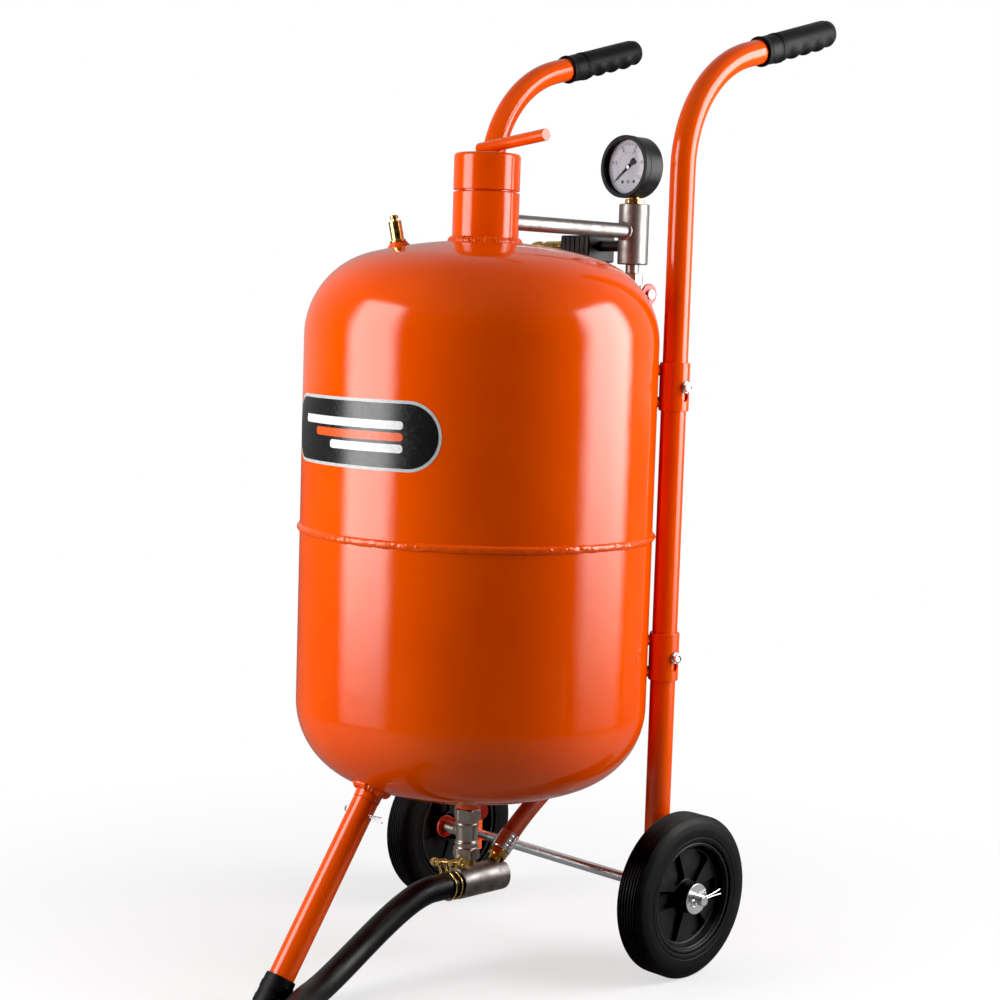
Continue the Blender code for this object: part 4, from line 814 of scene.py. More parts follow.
def grip(side, word):
    """Moulded sleeve: plain collar, two rings, then four finger waves underneath."""
    node = "grip_" + word
    path, way = handle_path(side, GRIP_LENGTH)
    at = stand(path[-1], way, -X)
    outer, bore, count = 0.0156, TUBE_R + 0.0003, 72
    rows = 190
    rings = [[at @ Vector((bore * math.cos(math.tau * k / count), bore * math.sin(math.tau * k / count), s))
              for k in range(count)] for s in (GRIP_LENGTH - 0.0045, 0.0008)]
    for i in range(rows + 1):
        s = GRIP_LENGTH * i / rows
        radius = outer + 0.0012 * math.exp(-((s - 0.0030) / 0.0030) ** 2)
        for ridge in (0.0270, 0.0305):
            radius += 0.0006 * math.exp(-((s - ridge) / 0.0009) ** 2)
        radius -= 0.0006 * math.exp(-((s - 0.0245) / 0.0012) ** 2)
        if s < 0.0012:
            radius -= 0.0012 - math.sqrt(max(0.0, 0.0012 ** 2 - (0.0012 - s) ** 2))
        tail = GRIP_LENGTH - s
        if tail < 0.0150:
            radius *= math.sqrt(max(0.0, 1 - (1 - tail / 0.0150) ** 2.6)) * 0.96 + 0.04
        wave = 0.0
        if 0.0300 < s < 0.1240:
            wave = 0.5 - 0.5 * math.cos(math.tau * (s - 0.0330) / 0.0228)
            wave *= min(1.0, (s - 0.0300) / 0.006, (0.1240 - s) / 0.006)
        ring = []
        for k in range(count):
            t = math.tau * k / count
            under = max(0.0, -math.sin(t)) ** 0.8
            flat = 1.0 - 0.030 * max(0.0, math.sin(t)) ** 3
            r = radius * flat - 0.0021 * wave * under + 0.0014 * under * (1 - wave) * min(1.0, s / 0.03)
            ring.append(at @ Vector((r * math.cos(t), r * math.sin(t), s)))
        rings.append(ring)
    stand_in(loft(node + "_fine", rings), node, crease=50)


def bracket(side, level, word):
    """Sleeve with a keyhole, its two weld tabs and the flanged screw."""
    node = "bracket_" + level + "_" + word
    centre = Vector((side * TUBE_X, TUBE_Y, mid(node).z))
    half = size(node).z / 2
    bore, outer = TUBE_R + 0.0003, 0.0160
    outline = soften([(bore, -half), (outer, -half), (outer, half), (bore, half)], 0.0008, 4, loop=True)
    sleeve = turned(node + "_fine", outline, Matrix.Translation(centre), 72, loop=True)
    slot = []
    for x in (bore - 0.003, outer + 0.004):
        ring = []
        for k in range(24):
            t = math.tau * (k + 0.5) / 24
            under = math.sin(t) < 0
            wide = 0.0046 if under else 0.0032
            ring.append(centre + Vector((side * x, wide * math.cos(t), wide * math.sin(t) - 0.0105 * under)))
        slot.append(ring)
    cut(sleeve, loft("keyhole", slot))
    stand_in(sleeve, node)

    inward = AXIS + Z * centre.z - centre
    reach = inward.length - TANK_R
    inward.normalize()
    for name, z in (("low", -half + 0.0085), ("high", half - 0.0085)):
        at = stand(centre + Z * z, inward, Z)
        tab = slab(node + "_tab_" + name, Vector((-0.0035, -0.009, outer - 0.001)),
                   Vector((0.0035, 0.009, reach + 0.0012)), 0.0008, at)
        extra(tab, node)
        path, outs = [], []
        for k in range(60):
            t = math.tau * k / 60
            path.append(at @ Vector((0.0044 * math.cos(t), 0.0098 * math.sin(t), reach - 0.0002)))
            out = Vector((math.cos(t), math.sin(t), -0.8))
            outs.append((at.to_3x3() @ out).normalized())
        extra(bead(node + "_weld_" + name, path, outs, 0.0038, 0.0014, z * 50), node)

    bolt = "bolt_" + level + "_" + word
    face = outer + 0.0003
    rows = [(0.0030, face - 0.0060), (0.0030, face), (0.0062, face), (0.0064, face + 0.0005),
            (0.0058, face + 0.0014)] + hexed(0.0046, face + 0.0014, face + 0.0050)
    rows += soften([(0.0036, face + 0.0051), (0.0030, face + 0.0040), (0.0008, face + 0.0038)])
    stand_in(turned(bolt + "_fine", rows, stand(centre, X * side, Y), 48), bolt)


def split_pin(node, centre, way, side, grip_half, reach_back):
    """Folded half-round wire with an eye in front and two sprung prongs."""
    wire, eye, apart = 0.00085, 0.0036, 0.00095
    eye_z = -grip_half - 0.0045
    path = [Vector((0.0030, 0, reach_back)), Vector((0.0016, 0, (reach_back + grip_half) / 2)),
            Vector((apart, 0, grip_half)), Vector((apart, 0, -grip_half))]
    for k in range(25):
        t = math.radians(38 + 284 * k / 24)
        path.append(Vector((eye * math.sin(t), 0, eye_z + eye * math.cos(t))))
    path += [Vector((-apart, 0, -grip_half)), Vector((-apart, 0, grip_half)),
             Vector((-0.0012, 0, (reach_back + grip_half) / 2)), Vector((-0.0022, 0, reach_back - 0.001))]
    at = stand(centre, way, side)
    stand_in(tube(node + "_fine", [at @ p for p in path], wire, 14, side=at.col[1].xyz), node)


def axle_and_pins():
    reach = size("axle").x / 2
    centre = mid("axle")
    outline = soften([(0.0004, -reach), (AXLE_R, -reach, 0.0012), (AXLE_R, reach, 0.0012), (0.0004, reach)])
    stand_in(turned("axle_fine", outline, stand(centre, X, Y), 36), "axle")
    way = Vector((0, math.cos(math.radians(8)), math.sin(math.radians(8))))
    for word in ("left", "right"):
        node = "washer_" + word
        x = size(node).x / 2
        outline = soften([(AXLE_R + 0.0003, -x), (0.0165, -x), (0.0165, x), (AXLE_R + 0.0003, x)],
                         0.0006, 4, loop=True)
        stand_in(turned(node + "_fine", outline, stand(mid(node), X, Y), 72, loop=True), node)
        node = "split_pin_" + word
        place = Vector((mid(node).x, TUBE_Y, WHEEL.z))
        split_pin(node, place, way, way.cross(X), 0.0075, 0.0320)


def hub(side, word):
    """Moulded centre: deep rim, web with six blind pockets on each face, bored boss."""
    node = "wheel_hub_" + word
    centre = Vector((side * WHEEL.x, WHEEL.y, WHEEL.z))
    at = stand(centre, X * side, Y)
    rim, inner, half, web = 0.0592, 0.0527, 0.0165, 0.0030
    boss, bore = 0.0165, AXLE_R + 0.0005
    outside, inside = 0.0195, -0.0235
    outline = [(bore, inside), (boss - 0.002, inside), (boss - 0.001, -web), (inner - 0.001, -web, 0.0015),
               (inner + 0.0020, -half, 0.0010), (rim - 0.0012, -half), (rim, -half + 0.0010),
               (rim, half - 0.0022),
               (rim + 0.0004, half - 0.0006), (rim - 0.0008, half + 0.0002), (rim - 0.0032, half, 0.0010),
               (rim - 0.0040, half - 0.0022, 0.0010), (inner + 0.0014, half - 0.0030, 0.0012),
               (inner - 0.0016, web + 0.0030, 0.0016), (boss + 0.001, web + 0.0030, 0.0012),
               (boss - 0.0006, outside), (bore, outside)]
    body = turned(node + "_fine", soften(outline, 0.0005, 3, loop=True), at, 120, loop=True)
    near, far = boss + 0.0030, inner - 0.0040
    for k in range(6):
        middle = math.tau * k / 6
        half_near, half_far = math.radians(23), math.radians(15)
        shape = [(near, -half_near), (far, -half_far)]
        shape += [(far + 0.0010, half_far * (2 * i / 6 - 1)) for i in range(1, 6)]
        shape += [(far, half_far), (near, half_near)]
        flat = [(r * math.cos(middle + a), r * math.sin(middle + a)) for r, a in shape]
        flat = soften(flat, 0.0015, 4, loop=True)
        for span in ((-0.010, -0.0011), (0.0011, 0.012)):
            cut(body, loft("pocket", [[at @ Vector((x, y, z)) for x, y in flat] for z in span]))
    stand_in(body, node)


def tyre(side, word):
    """Solid rubber tyre with fine tread grooves and a stepped side wall."""
    node = "tyre_" + word
    at = stand(Vector((side * WHEEL.x, WHEEL.y, WHEEL.z)), X * side, Y)
    half, seat, top = size(node).x / 2, 0.0595, WHEEL_R
    grooves = [0.0, 0.0040, 0.0078, 0.0112]
    wall = [(seat, half - 0.0030), (seat + 0.0008, half - 0.0012, 0.0008),
            (seat + 0.0044, half - 0.0004, 0.0010),
            (seat + 0.0062, half - 0.0010, 0.0006), (seat + 0.0070, half - 0.0003, 0.0006),
            (top - 0.0140, half, 0.0020), (top - 0.0060, half - 0.0016, 0.0030),
            (top - 0.0018, half - 0.0048, 0.0020), (top - 0.0004, 0.0128, 0.0008)]
    tread = []
    for g in grooves[::-1]:
        deep, wide = 0.0011, 0.00065
        row = [(top, g + wide + 0.0003, 0.0002), (top - deep, g + 0.4 * wide, 0.0002)]
        if g:
            row += [(top - deep, g - 0.4 * wide, 0.0002), (top, g - wide - 0.0003, 0.0002)]
        tread += row
    outline = wall + tread
    outline += [(r, -z, *rest) for r, z, *rest in outline[::-1]]
    body = turned(node + "_fine", soften(outline, 0.0003, 3, loop=True), at, 160, loop=True)
    stand_in(body, node)


# ---- front leg ---------------------------------------------------------------
def leg_point(z):
    return Vector((0, LEG_SLOPE * z, z))


def front_leg():
    """Leg tube, its welded socket under the tank, rubber boot and split pin."""
    up = Vector((0, LEG_SLOPE, 1)).normalized()
    top = leg_point(0.2000)
    path = [leg_point(0.0105), leg_point(0.05), leg_point(0.15), top - 0.0045 * up]
    stand_in(tube("front_leg_fine", path, TUBE_R, 48, TUBE_R - 0.0020), "front_leg")

    at = stand(top, up, X)
    outline = [(0.0110, -0.048), (0.0111, -0.047), (0.0111, -0.0040)]
    outline += soften([(0.0120, -0.0040), (TUBE_R + 0.0004, -0.0040, 0.0010),
                       (TUBE_R + 0.0006, 0.0050, 0.0030),
                       (TUBE_R + 0.0030, 0.0240)], 0.0006, 6)
    socket = turned("leg_socket_fine", outline, at, 64)
    inside = [(TANK_R + 0.0004, LOWER["tangent"] + 0.04)] + head_outline(LOWER, -0.0004, 0.004)
    cut(socket, turned("tank_tool", inside, Matrix.Translation(AXIS), 96))
    stand_in(socket, "leg_socket")
    path, outs = [], []
    centre = AXIS + Z * crown_centre(LOWER)
    for k in range(150):
        t = math.tau * k / 150
        reach = TUBE_R + 0.0028
        start = at @ Vector((reach * math.cos(t), reach * math.sin(t), 0))
        spot = start
        for step in range(400):
            spot = start + up * (step * 0.0001)
            if on_lower_head(spot):
                break
        path.append(spot)
        away = (at.to_3x3() @ Vector((math.cos(t), math.sin(t), 0))).normalized()
        outs.append((away + 0.6 * (spot - centre).normalized()).normalized())
    extra(bead("leg_weld", path, outs, 0.0105, 0.0040, 23.0, lumps=0.40), "leg_socket")

    rings = []
    for height, radius in ((0.0, 0.0166), (0.0006, 0.0171), (0.0046, 0.0172), (0.0052, 0.0166),
                           (0.0100, 0.0165),
                           (0.0105, 0.0170), (0.0150, 0.0170), (0.0155, 0.0164), (0.0200, 0.0163),
                           (0.0205, 0.0168), (0.0250, 0.0168), (0.0256, 0.0162), (0.0300, 0.0160),
                           (0.0314, 0.0156), (0.0318, 0.0148), (0.0318, TUBE_R + 0.0003)):
        ring = []
        for k in range(48):
            t = math.tau * k / 48
            point = stand(leg_point(height), up, X) @ Vector((radius * math.cos(t), radius * math.sin(t), 0))
            ring.append(point + up * ((height - point.z) / up.z) * max(0.0, 1 - height / 0.030))
        rings.append(ring)
    inner = TUBE_R + 0.0003
    base = stand(leg_point(0.0100), up, X)
    rings.append([base @ Vector((inner * math.cos(math.tau * k / 48), inner * math.sin(math.tau * k / 48), 0))
                  for k in range(48)])
    stand_in(loft("leg_foot_fine", rings), "leg_foot", slot="tyre_rubber")

    split_pin("leg_pin", leg_point(0.1840), X, -Z, 0.0154, 0.0355)


def on_lower_head(point):
    """True where a point has reached the outside of the lower head."""
    flat = (point - AXIS).xy.length
    corner = TANK_R - LOWER["knuckle"]
    if flat > corner:
        reach = math.sqrt(max(0.0, LOWER["knuckle"] ** 2 - (flat - corner) ** 2))
        return point.z > LOWER["tangent"] - reach
    return point.z > crown_centre(LOWER) - math.sqrt(LOWER["crown"] ** 2 - flat ** 2)


# ---- air manifold ------------------------------------------------------------
def manifold():
    start, end = low("manifold_pipe").y, high("manifold_pipe").y
    path = [Vector((0, start + (end - start) * k / 8, PIPE_Z)) for k in range(9)]
    stand_in(tube("manifold_pipe_fine", path, PIPE_R, 40, 0.0063), "manifold_pipe")
    base, top = low("manifold_tee").z, high("manifold_tee").z
    centre = Vector((0, TEE_Y, 0))
    bore = 0.0070
    outline = soften([(bore, base), (TEE_R, base, 0.0014), (TEE_R, top, 0.0014), (bore, top)],
                     0.0008, 5, loop=True)
    tee = turned("manifold_tee_fine", outline, Matrix.Translation(centre), 96, loop=True)
    stand_in(tee, "manifold_tee")

    path, outs = [], []
    for k in range(110):
        t = math.tau * k / 110
        x, z = (PIPE_R + 0.0003) * math.cos(t), (PIPE_R + 0.0003) * math.sin(t)
        path.append(centre + Vector((x, -math.sqrt(TEE_R ** 2 - x * x) - 0.0003, PIPE_Z + z)))
        outs.append(Vector((math.cos(t), -0.9, math.sin(t))).normalized())
    extra(bead("tee_weld", path, outs, 0.0046, 0.0017, 31.0, lumps=0.35), "manifold_tee")
    joint = AXIS + Vector((0, 0, PIPE_Z))
    path, outs = [], []
    for k in range(110):
        t = math.tau * k / 110
        x, z = (PIPE_R + 0.0003) * math.cos(t), (PIPE_R + 0.0003) * math.sin(t)
        path.append(joint + Vector((x, math.sqrt(NECK_R ** 2 - x * x) + 0.0002, z)))
        outs.append(Vector((math.cos(t), 0.9, math.sin(t))).normalized())
    extra(bead("neck_pipe_weld", path, outs, 0.0044, 0.0017, 37.0, lumps=0.3), "filler_neck")

    node = "manifold_nipple"
    bottom, top = low(node).z + 0.0085, high(node).z - 0.0085
    outline = soften([(0.0035, bottom - 0.008), (0.0064, bottom - 0.008), (0.0064, bottom + 0.0003),
                      (0.0075, bottom + 0.0003), (0.0075, top - 0.0003), (0.0064, top - 0.0003),
                      (0.0064, top + 0.008), (0.0035, top + 0.008)], 0.0004, 3, loop=True)
    stand_in(turned(node + "_fine", outline, Matrix.Translation(centre), 40, loop=True), node)


def gauge():
    """Case, bezel, card with its scale, needle and lens; local Z faces the reader."""
    back = high("gauge_case").y
    middle = Vector((0, back, mid("gauge_case").z))
    radius, depth = size("gauge_case").x / 2, size("gauge_case").y
    at = stand(middle, -Y, X)
    body, lip, bore = radius - 0.0007, radius - 0.0046, radius - 0.0037
    outline = [(0.0010, 0.0), (body, 0.0, 0.0022), (body, 0.0205, 0.0005), (body - 0.0005, 0.0209, 0.0002),
               (body - 0.0005, 0.0214, 0.0002), (radius, 0.0217, 0.0007), (radius, depth, 0.0013),
               (lip, depth, 0.0009), (lip + 0.0003, depth - 0.0016, 0.0005), (bore, depth - 0.0018),
               (bore, 0.0020), (0.0010, 0.0020)]
    stand_in(turned("gauge_case_fine", soften(outline, 0.0003, 5), at, 120), "gauge_case")

    face = 0.0208
    outline = soften([(0.0015, 0.0200), (0.0306, 0.0200), (0.0306, face), (0.0015, face)],
                     0.0002, 2, loop=True)
    stand_in(turned("gauge_dial_fine", outline, at, 96, loop=True), "gauge_dial")
    outline = soften([(0.0005, 0.0264), (0.0306, 0.0258), (0.0306, 0.0274), (0.0200, 0.0281, 0.004),
                      (0.0005, 0.0283)], 0.0003, 4)
    stand_in(turned("gauge_lens_fine", outline, at, 96), "gauge_lens")
    gauge_marks(at, face)

    zero = math.radians(218.0)
    needle_z = 0.0222
    shape = [(0.0228, 0.00030), (0.0100, 0.00070), (0.0018, 0.0013), (-0.0055, 0.0015), (-0.0075, 0.0034),
             (-0.0125, 0.0031)]
    shape = shape + [(a, -b) for a, b in shape[::-1]]
    turn = at @ Matrix.Rotation(zero, 4, "Z")
    flat = soften(shape, 0.0003, 3, loop=True)
    needle = loft("gauge_pointer_fine", [[turn @ Vector((a, b, z)) for a, b in flat]
                                         for z in (needle_z, needle_z + 0.0005)])
    stand_in(needle, "gauge_pointer")
    outline = soften([(0.0009, 0.0100), (0.0009, 0.0218), (0.0026, 0.0219), (0.0026, 0.0236),
                      (0.0014, 0.0240), (0.0004, 0.0241)], 0.0003, 3)
    extra(turned("pointer_hub", outline, at, 32), "gauge_pointer", slot="zinc_steel")

    socket = Vector((0, TEE_Y, 0))
    tee_top = high("manifold_tee").z
    hex_low, hex_high = tee_top + 0.0003, middle.z - radius - 0.0003
    rows = [(0.0018, tee_top - 0.010), (0.0066, tee_top - 0.010), (0.0066, hex_low)]
    rows += hexed(0.0098, hex_low, hex_high) + [(0.0060, hex_high), (0.0060, hex_high + 0.0050),
                                                (0.0018, hex_high + 0.0050)]
    stand_in(turned("gauge_socket_fine", rows, Matrix.Translation(socket), 60, loop=True), "gauge_socket")


def gauge_marks(at, face):
    """Scale: ticks on an arc of 256 degrees, plain figures and three small discs."""
    top = face + 0.00012
    parts = []
    sweep, zero, steps = 256.0, 218.0, 50
    for k in range(steps + 1):
        t = math.radians(zero - sweep * k / steps)
        major, half_way = k % 10 == 0, k % 5 == 0
        inner = 0.0222 if major else 0.0236 if half_way else 0.0248
        wide = 0.00055 if major else 0.00030
        turn = at @ Matrix.Rotation(t, 4, "Z")
        shape = [(inner, -wide), (0.0268, -wide), (0.0268, wide), (inner, wide)]
        parts.append(loft("tick", [[turn @ Vector((a, b, z)) for a, b in shape] for z in (face, top)]))
    for k in range(0, 29):
        t = math.radians(zero - sweep * k / 28)
        turn = at @ Matrix.Rotation(t, 4, "Z")
        inner = 0.0150 if k % 4 == 0 else 0.0160
        shape = [(inner, -0.0002), (0.0172, -0.0002), (0.0172, 0.0002), (inner, 0.0002)]
        parts.append(loft("tick", [[turn @ Vector((a, b, z)) for a, b in shape] for z in (face, top)]))
    for x, ring in ((-0.0085, False), (0.0, True), (0.0085, False)):
        place = at @ Matrix.Translation((x, -0.0165, 0))
        outline = [(0.0010 if ring else 0.0002, face), (0.0019, face), (0.0019, top),
                   (0.0010 if ring else 0.0002, top)]
        parts.append(turned("disc", outline, place, 24, loop=True))
    for k in range(6):
        t = math.radians(zero - sweep * k / 5)
        curve = bpy.data.curves.new("figure", "FONT")
        curve.body = str(2 * k)
        curve.size = 0.0064
        curve.extrude = 0.00006
        curve.align_x = curve.align_y = "CENTER"
        figure = bpy.data.objects.new("figure", curve)
        bpy.context.scene.collection.objects.link(figure)
        bpy.context.view_layer.update()
        mesh = bpy.data.meshes.new_from_object(figure.evaluated_get(bpy.context.evaluated_depsgraph_get()))
        bpy.data.objects.remove(figure)
        mesh.transform(at @ Matrix.Translation((0.0197 * math.cos(t), 0.0197 * math.sin(t), face + 0.00006)))
        figure = bpy.data.objects.new("figure", mesh)
        bpy.context.scene.collection.objects.link(figure)
        parts.append(figure)
    extra(fuse(*parts), "gauge_dial", look=INK).name = "gauge_marks"


def moisture_filter():
    """Ribbed square head, hanging bowl with its collar and the push drain."""
    head_low, head_high = low("filter_head"), high("filter_head")
    centre = Vector(((low("filter_bowl").x + high("filter_bowl").x) / 2, TEE_Y, 0))
    half, top = size("filter_head").y / 2, head_high.z
    skirt = head_low.z
    shelf = skirt + 0.0110
    port_z = mid("inlet_plug").z
    head = slab("filter_head_fine", centre + Vector((-half, -half, shelf)),
                centre + Vector((half, half, top)), 0.0022)
    parts = [head]
    for k in range(5):
        x = centre.x - 0.0150 + 0.0075 * k
        for near, far in ((-half - 0.0012, -half + 0.002), (half - 0.002, half + 0.0012)):
            low_corner = Vector((x - 0.0011, centre.y + near, shelf + 0.002))
            high_corner = Vector((x + 0.0011, centre.y + far, top - 0.002))
            parts.append(slab("rib", low_corner, high_corner, 0.0005))
    outline = soften([(0.0195, skirt), (0.0218, skirt), (0.0218, shelf + 0.001), (0.0195, shelf + 0.001)],
                     0.0008, 3, loop=True)
    parts.append(turned("skirt", outline, Matrix.Translation(centre), 72, loop=True))
    for k in range(24):
        turn = Matrix.Translation(centre) @ Matrix.Rotation(math.tau * k / 24, 4, "Z")
        parts.append(slab("lug", Vector((0.0212, -0.0010, skirt + 0.001)),
                          Vector((0.0226, 0.0010, shelf - 0.0005)), 0.0004, turn))
    parts.append(rod("spigot", Vector((centre.x + half - 0.001, TEE_Y, port_z)),
                     Vector((-TEE_R + 0.0060, TEE_Y, port_z)), 0.0064))
    stand_in(fuse(*parts), "filter_head")

    base = low("filter_bowl").z
    bowl = size("filter_bowl").x / 2
    outline = soften([(0.0034, base), (0.0120, base, 0.0020), (0.0175, base + 0.004, 0.0050),
                      (bowl, base + 0.0100, 0.0040), (bowl, shelf - 0.0002), (bowl - 0.0020, shelf - 0.0002),
                      (bowl - 0.0020, base + 0.0110), (0.0150, base + 0.0060), (0.0034, base + 0.0040)],
                     0.0006, 5, loop=True)
    bowl_piece = turned("filter_bowl_fine", outline, Matrix.Translation(centre), 80, loop=True)
    stand_in(bowl_piece, "filter_bowl")
    outline = soften([(0.0006, base - 0.0110), (0.0055, base - 0.0110), (0.0055, base - 0.0050),
                      (0.0028, base - 0.0045), (0.0028, base + 0.0080), (0.0042, base + 0.0084),
                      (0.0042, base + 0.0098), (0.0006, base + 0.0098)], 0.0005, 3)
    stand_in(turned("filter_drain_fine", outline, Matrix.Translation(centre), 40), "filter_drain")

    at = stand(Vector((centre.x - half, TEE_Y, port_z)), -X, Y)
    rows = [(0.0028, -0.0090), (0.0062, -0.0090), (0.0062, 0.0003)] + hexed(0.0085, 0.0003, 0.0130)
    rows += soften([(0.0060, 0.0136), (0.0060, 0.0180), (0.0066, 0.0184), (0.0066, 0.0200), (0.0060, 0.0204),
                    (0.0060, 0.0430, 0.0010), (0.0046, 0.0450, 0.0010), (0.0046, 0.0510, 0.0010),
                    (0.0060, 0.0530, 0.0010), (0.0060, 0.0580, 0.0010), (0.0045, 0.0660), (0.0028, 0.0660)],
                   0.0004, 4)
    stand_in(turned("inlet_plug_fine", rows, at, 60, loop=True), "inlet_plug")


# ---- ball valves -------------------------------------------------------------
def valve_body(node, ball_node, centre, length, flat, waist, side, gland_reach, male=0.0):
    """Forged body: hexagon at each end, ringed waist, round ball chamber and stem gland."""
    half = length / 2
    at = Matrix.Translation(centre)
    bore = 0.0080
    rows = [(bore, -half)] + hexed(flat, -half, -half + 0.0118)
    rows += soften([(waist, -half + 0.0125), (waist, -half + 0.0150), (waist + 0.0009, -half + 0.0158),
                    (waist + 0.0009, -half + 0.0178), (waist, -half + 0.0186),
                    (waist - 0.0006, -half + 0.0200),
                    (waist - 0.0003, 0.0), (waist + 0.0002, half - 0.0190), (waist + 0.0008, half - 0.0182),
                    (waist + 0.0008, half - 0.0160), (waist, half - 0.0148)], 0.0007, 4)
    rows += hexed(flat, half - 0.0130, half)
    if male:
        rows += soften([(0.0100, half), (0.0100, half + male - 0.001), (0.0092, half + male),
                        (0.0072, half + male)], 0.0004)
    tunnel = 0.0072 if male else 0.0070
    chamber = size(ball_node).x / 2 + 0.0004
    mouth = math.asin(tunnel / chamber)
    if not male:
        rows.append((tunnel, half))
    for k in range(15):
        t = mouth + (math.pi - 2 * mouth) * k / 14
        rows.append((chamber * math.sin(t), chamber * math.cos(t)))
    rows.append((tunnel, -half))
    body = turned(node + "_fine", rows, at, 60, loop=True)
    stand_in(body, node)
    start = centre + X * side * (waist - 0.003)
    outline = soften([(0.0034, 0.0), (0.0072, 0.0), (0.0070, 0.0040, 0.0015), (0.0060, 0.0060, 0.0010),
                      (0.0060, gland_reach - waist + 0.003), (0.0034, gland_reach - waist + 0.003)],
                     0.0004, 3, loop=True)
    extra(turned(node + "_gland", outline, stand(start, X * side, Y), 40, loop=True), node)


def valve_lever(node, ball_node, centre, side, hub_x, reach, arm):
    """Steel lever with a dipped red sleeve, held on the stem by a nut."""
    thick = 0.0032
    across = X.cross(arm)
    rows = []
    for depth, inset in ((0.0, 0.0009), (0.0003, 0.0003), (0.0009, 0.0), (thick - 0.0009, 0.0),
                         (thick - 0.0003, 0.0003), (thick, 0.0009)):
        disc = 0.0120 - inset
        neck, bulb = 0.0058 - inset, 0.0086 - inset
        shape = []
        first = math.asin(neck / disc)
        for k in range(29):
            t = first + (math.tau - 2 * first) * k / 28
            shape.append((disc * math.cos(t), disc * math.sin(t)))
        tail = [(0.4 * reach, neck + 0.0003), (0.7 * reach, neck + 0.0010), (reach - 0.0120, bulb)]
        tip = [(reach - 0.0086 + bulb * math.cos(t) * 0.98, bulb * math.sin(t))
               for t in (math.radians(80 - 10 * k) for k in range(17))]
        outer = tail + tip + [(a, -b) for a, b in tail[::-1]]
        shape = shape + [(a, -b) for a, b in outer]
        ring = [centre + X * side * (hub_x + depth) + arm * a + across * b for a, b in shape]
        rows.append(ring)
    stand_in(loft(node + "_fine", rows), node, crease=45)

    stem_start = centre + X * side * 0.0100
    extra(rod(node + "_stem", stem_start, centre + X * side * (hub_x + 0.0065), 0.0028), node, "nickel_plate")
    nut = turned(node + "_nut", [(0.0028, 0.0)] + hexed(0.0050, 0.0, 0.0034) + [(0.0028, 0.0034)],
                 stand(centre + X * side * (hub_x + thick), X * side, Y), 48, loop=True)
    extra(nut, node, "zinc_steel")
    ball = frame["nodes"][ball_node]
    ball.data.materials.clear()
    ball.data.materials.append(LOOKS["zinc_steel"])


def valves():
    centre = Vector((0, TEE_Y, mid("air_valve_ball").z))
    length = size("air_valve_body").z
    valve_body("air_valve_body", "air_valve_ball", centre, length, 0.0110, 0.0104, 1, 0.0245)
    valve_lever("air_valve_lever", "air_valve_ball", centre, 1, 0.0250, 0.0580, -Z)
    top = low("lower_shell").z - 0.0008
    length = 0.0545
    centre = Vector((0, AXIS.y, top - length / 2))
    valve_body("metering_valve_body", "metering_valve_ball", centre, length, 0.0130, 0.0122, -1,
               0.0320, male=0.0140)
    tilt = math.radians(8)
    valve_lever("metering_valve_lever", "metering_valve_ball", centre, -1, 0.0325, 0.0640,
                Vector((0, math.cos(tilt), math.sin(tilt))))


# ---- blast line --------------------------------------------------------------
def mixer():
    """Bored steel block, its brass feed nipple and the hose tail."""
    front, rear = AXIS.y - 0.0140, high("mixing_tee").y
    length, radius = rear - front, size("mixing_tee").x / 2
    at = stand(Vector((0, rear, MIXER_Z)), -Y, X)
    bore, tail = 0.0070, 0.0093
    outline = soften([(0.0008, 0.0), (radius, 0.0, 0.0020), (radius, length, 0.0016), (tail, length),
                      (tail, length + 0.0300, 0.0010), (bore, length + 0.0300), (bore, 0.0100),
                      (0.0008, 0.0100)], 0.0006, 5)
    block = turned("mixing_tee_fine", outline, at, 96)
    spot, rise = air_port()
    cut(block, rod("spotface", spot - rise * 0.0001, spot + rise * 0.03, 0.0119, 48, 0.0))
    stand_in(block, "mixing_tee")

    node = "sand_nipple"
    bottom, top = low(node).z + 0.0085, high(node).z - 0.0085
    rows = soften([(0.0035, bottom - 0.004), (0.0064, bottom - 0.004), (0.0064, bottom + 0.0003)])
    rows += hexed(0.0085, bottom + 0.0003, top - 0.0003)
    rows += [(0.0064, top - 0.0003), (0.0064, top + 0.006), (0.0035, top + 0.006)]
    stand_in(turned(node + "_fine", rows, Matrix.Translation(AXIS), 48, loop=True), node)


def air_port():
    """Seat and direction of the inclined air port on the mixing block."""
    rise = Vector((0, math.cos(math.radians(45)), math.sin(math.radians(45))))
    face = size("mixing_tee").x / 2 / math.sin(math.radians(45)) + 0.0050
    return Vector((0, AXIS.y + 0.0245, MIXER_Z)) + rise * face, rise


def hose_end(node, at):
    """Brass hexagon and crimped ferrule; local Z runs towards the hose."""
    rows = [(0.0035, -0.0060), (0.0064, -0.0060), (0.0064, 0.0003)] + hexed(0.0098, 0.0003, 0.0080)
    rows += [(0.0060, 0.0080), (0.0060, 0.0120), (0.0035, 0.0120)]
    stand_in(turned(node + "_fine", rows, at, 60, loop=True), node)
    ferrule, inner = 0.0114, 0.0104
    outline = [(0.0070, 0.0083), (ferrule - 0.0006, 0.0083), (ferrule, 0.0092)]
    for k in range(1, 56):
        z = 0.0092 + 0.0204 * k / 56
        press = max(0.0, math.cos(math.tau * (z - 0.0150) / 0.0060)) ** 3
        outline.append((ferrule - 0.00012 * press * (0.0125 < z < 0.0275), z))
    outline += [(ferrule, 0.0298), (inner, 0.0303), (inner, 0.0110), (0.0070, 0.0106)]
    extra(turned(node + "_ferrule", outline, at, 60, loop=True), node, slot="zinc_steel")


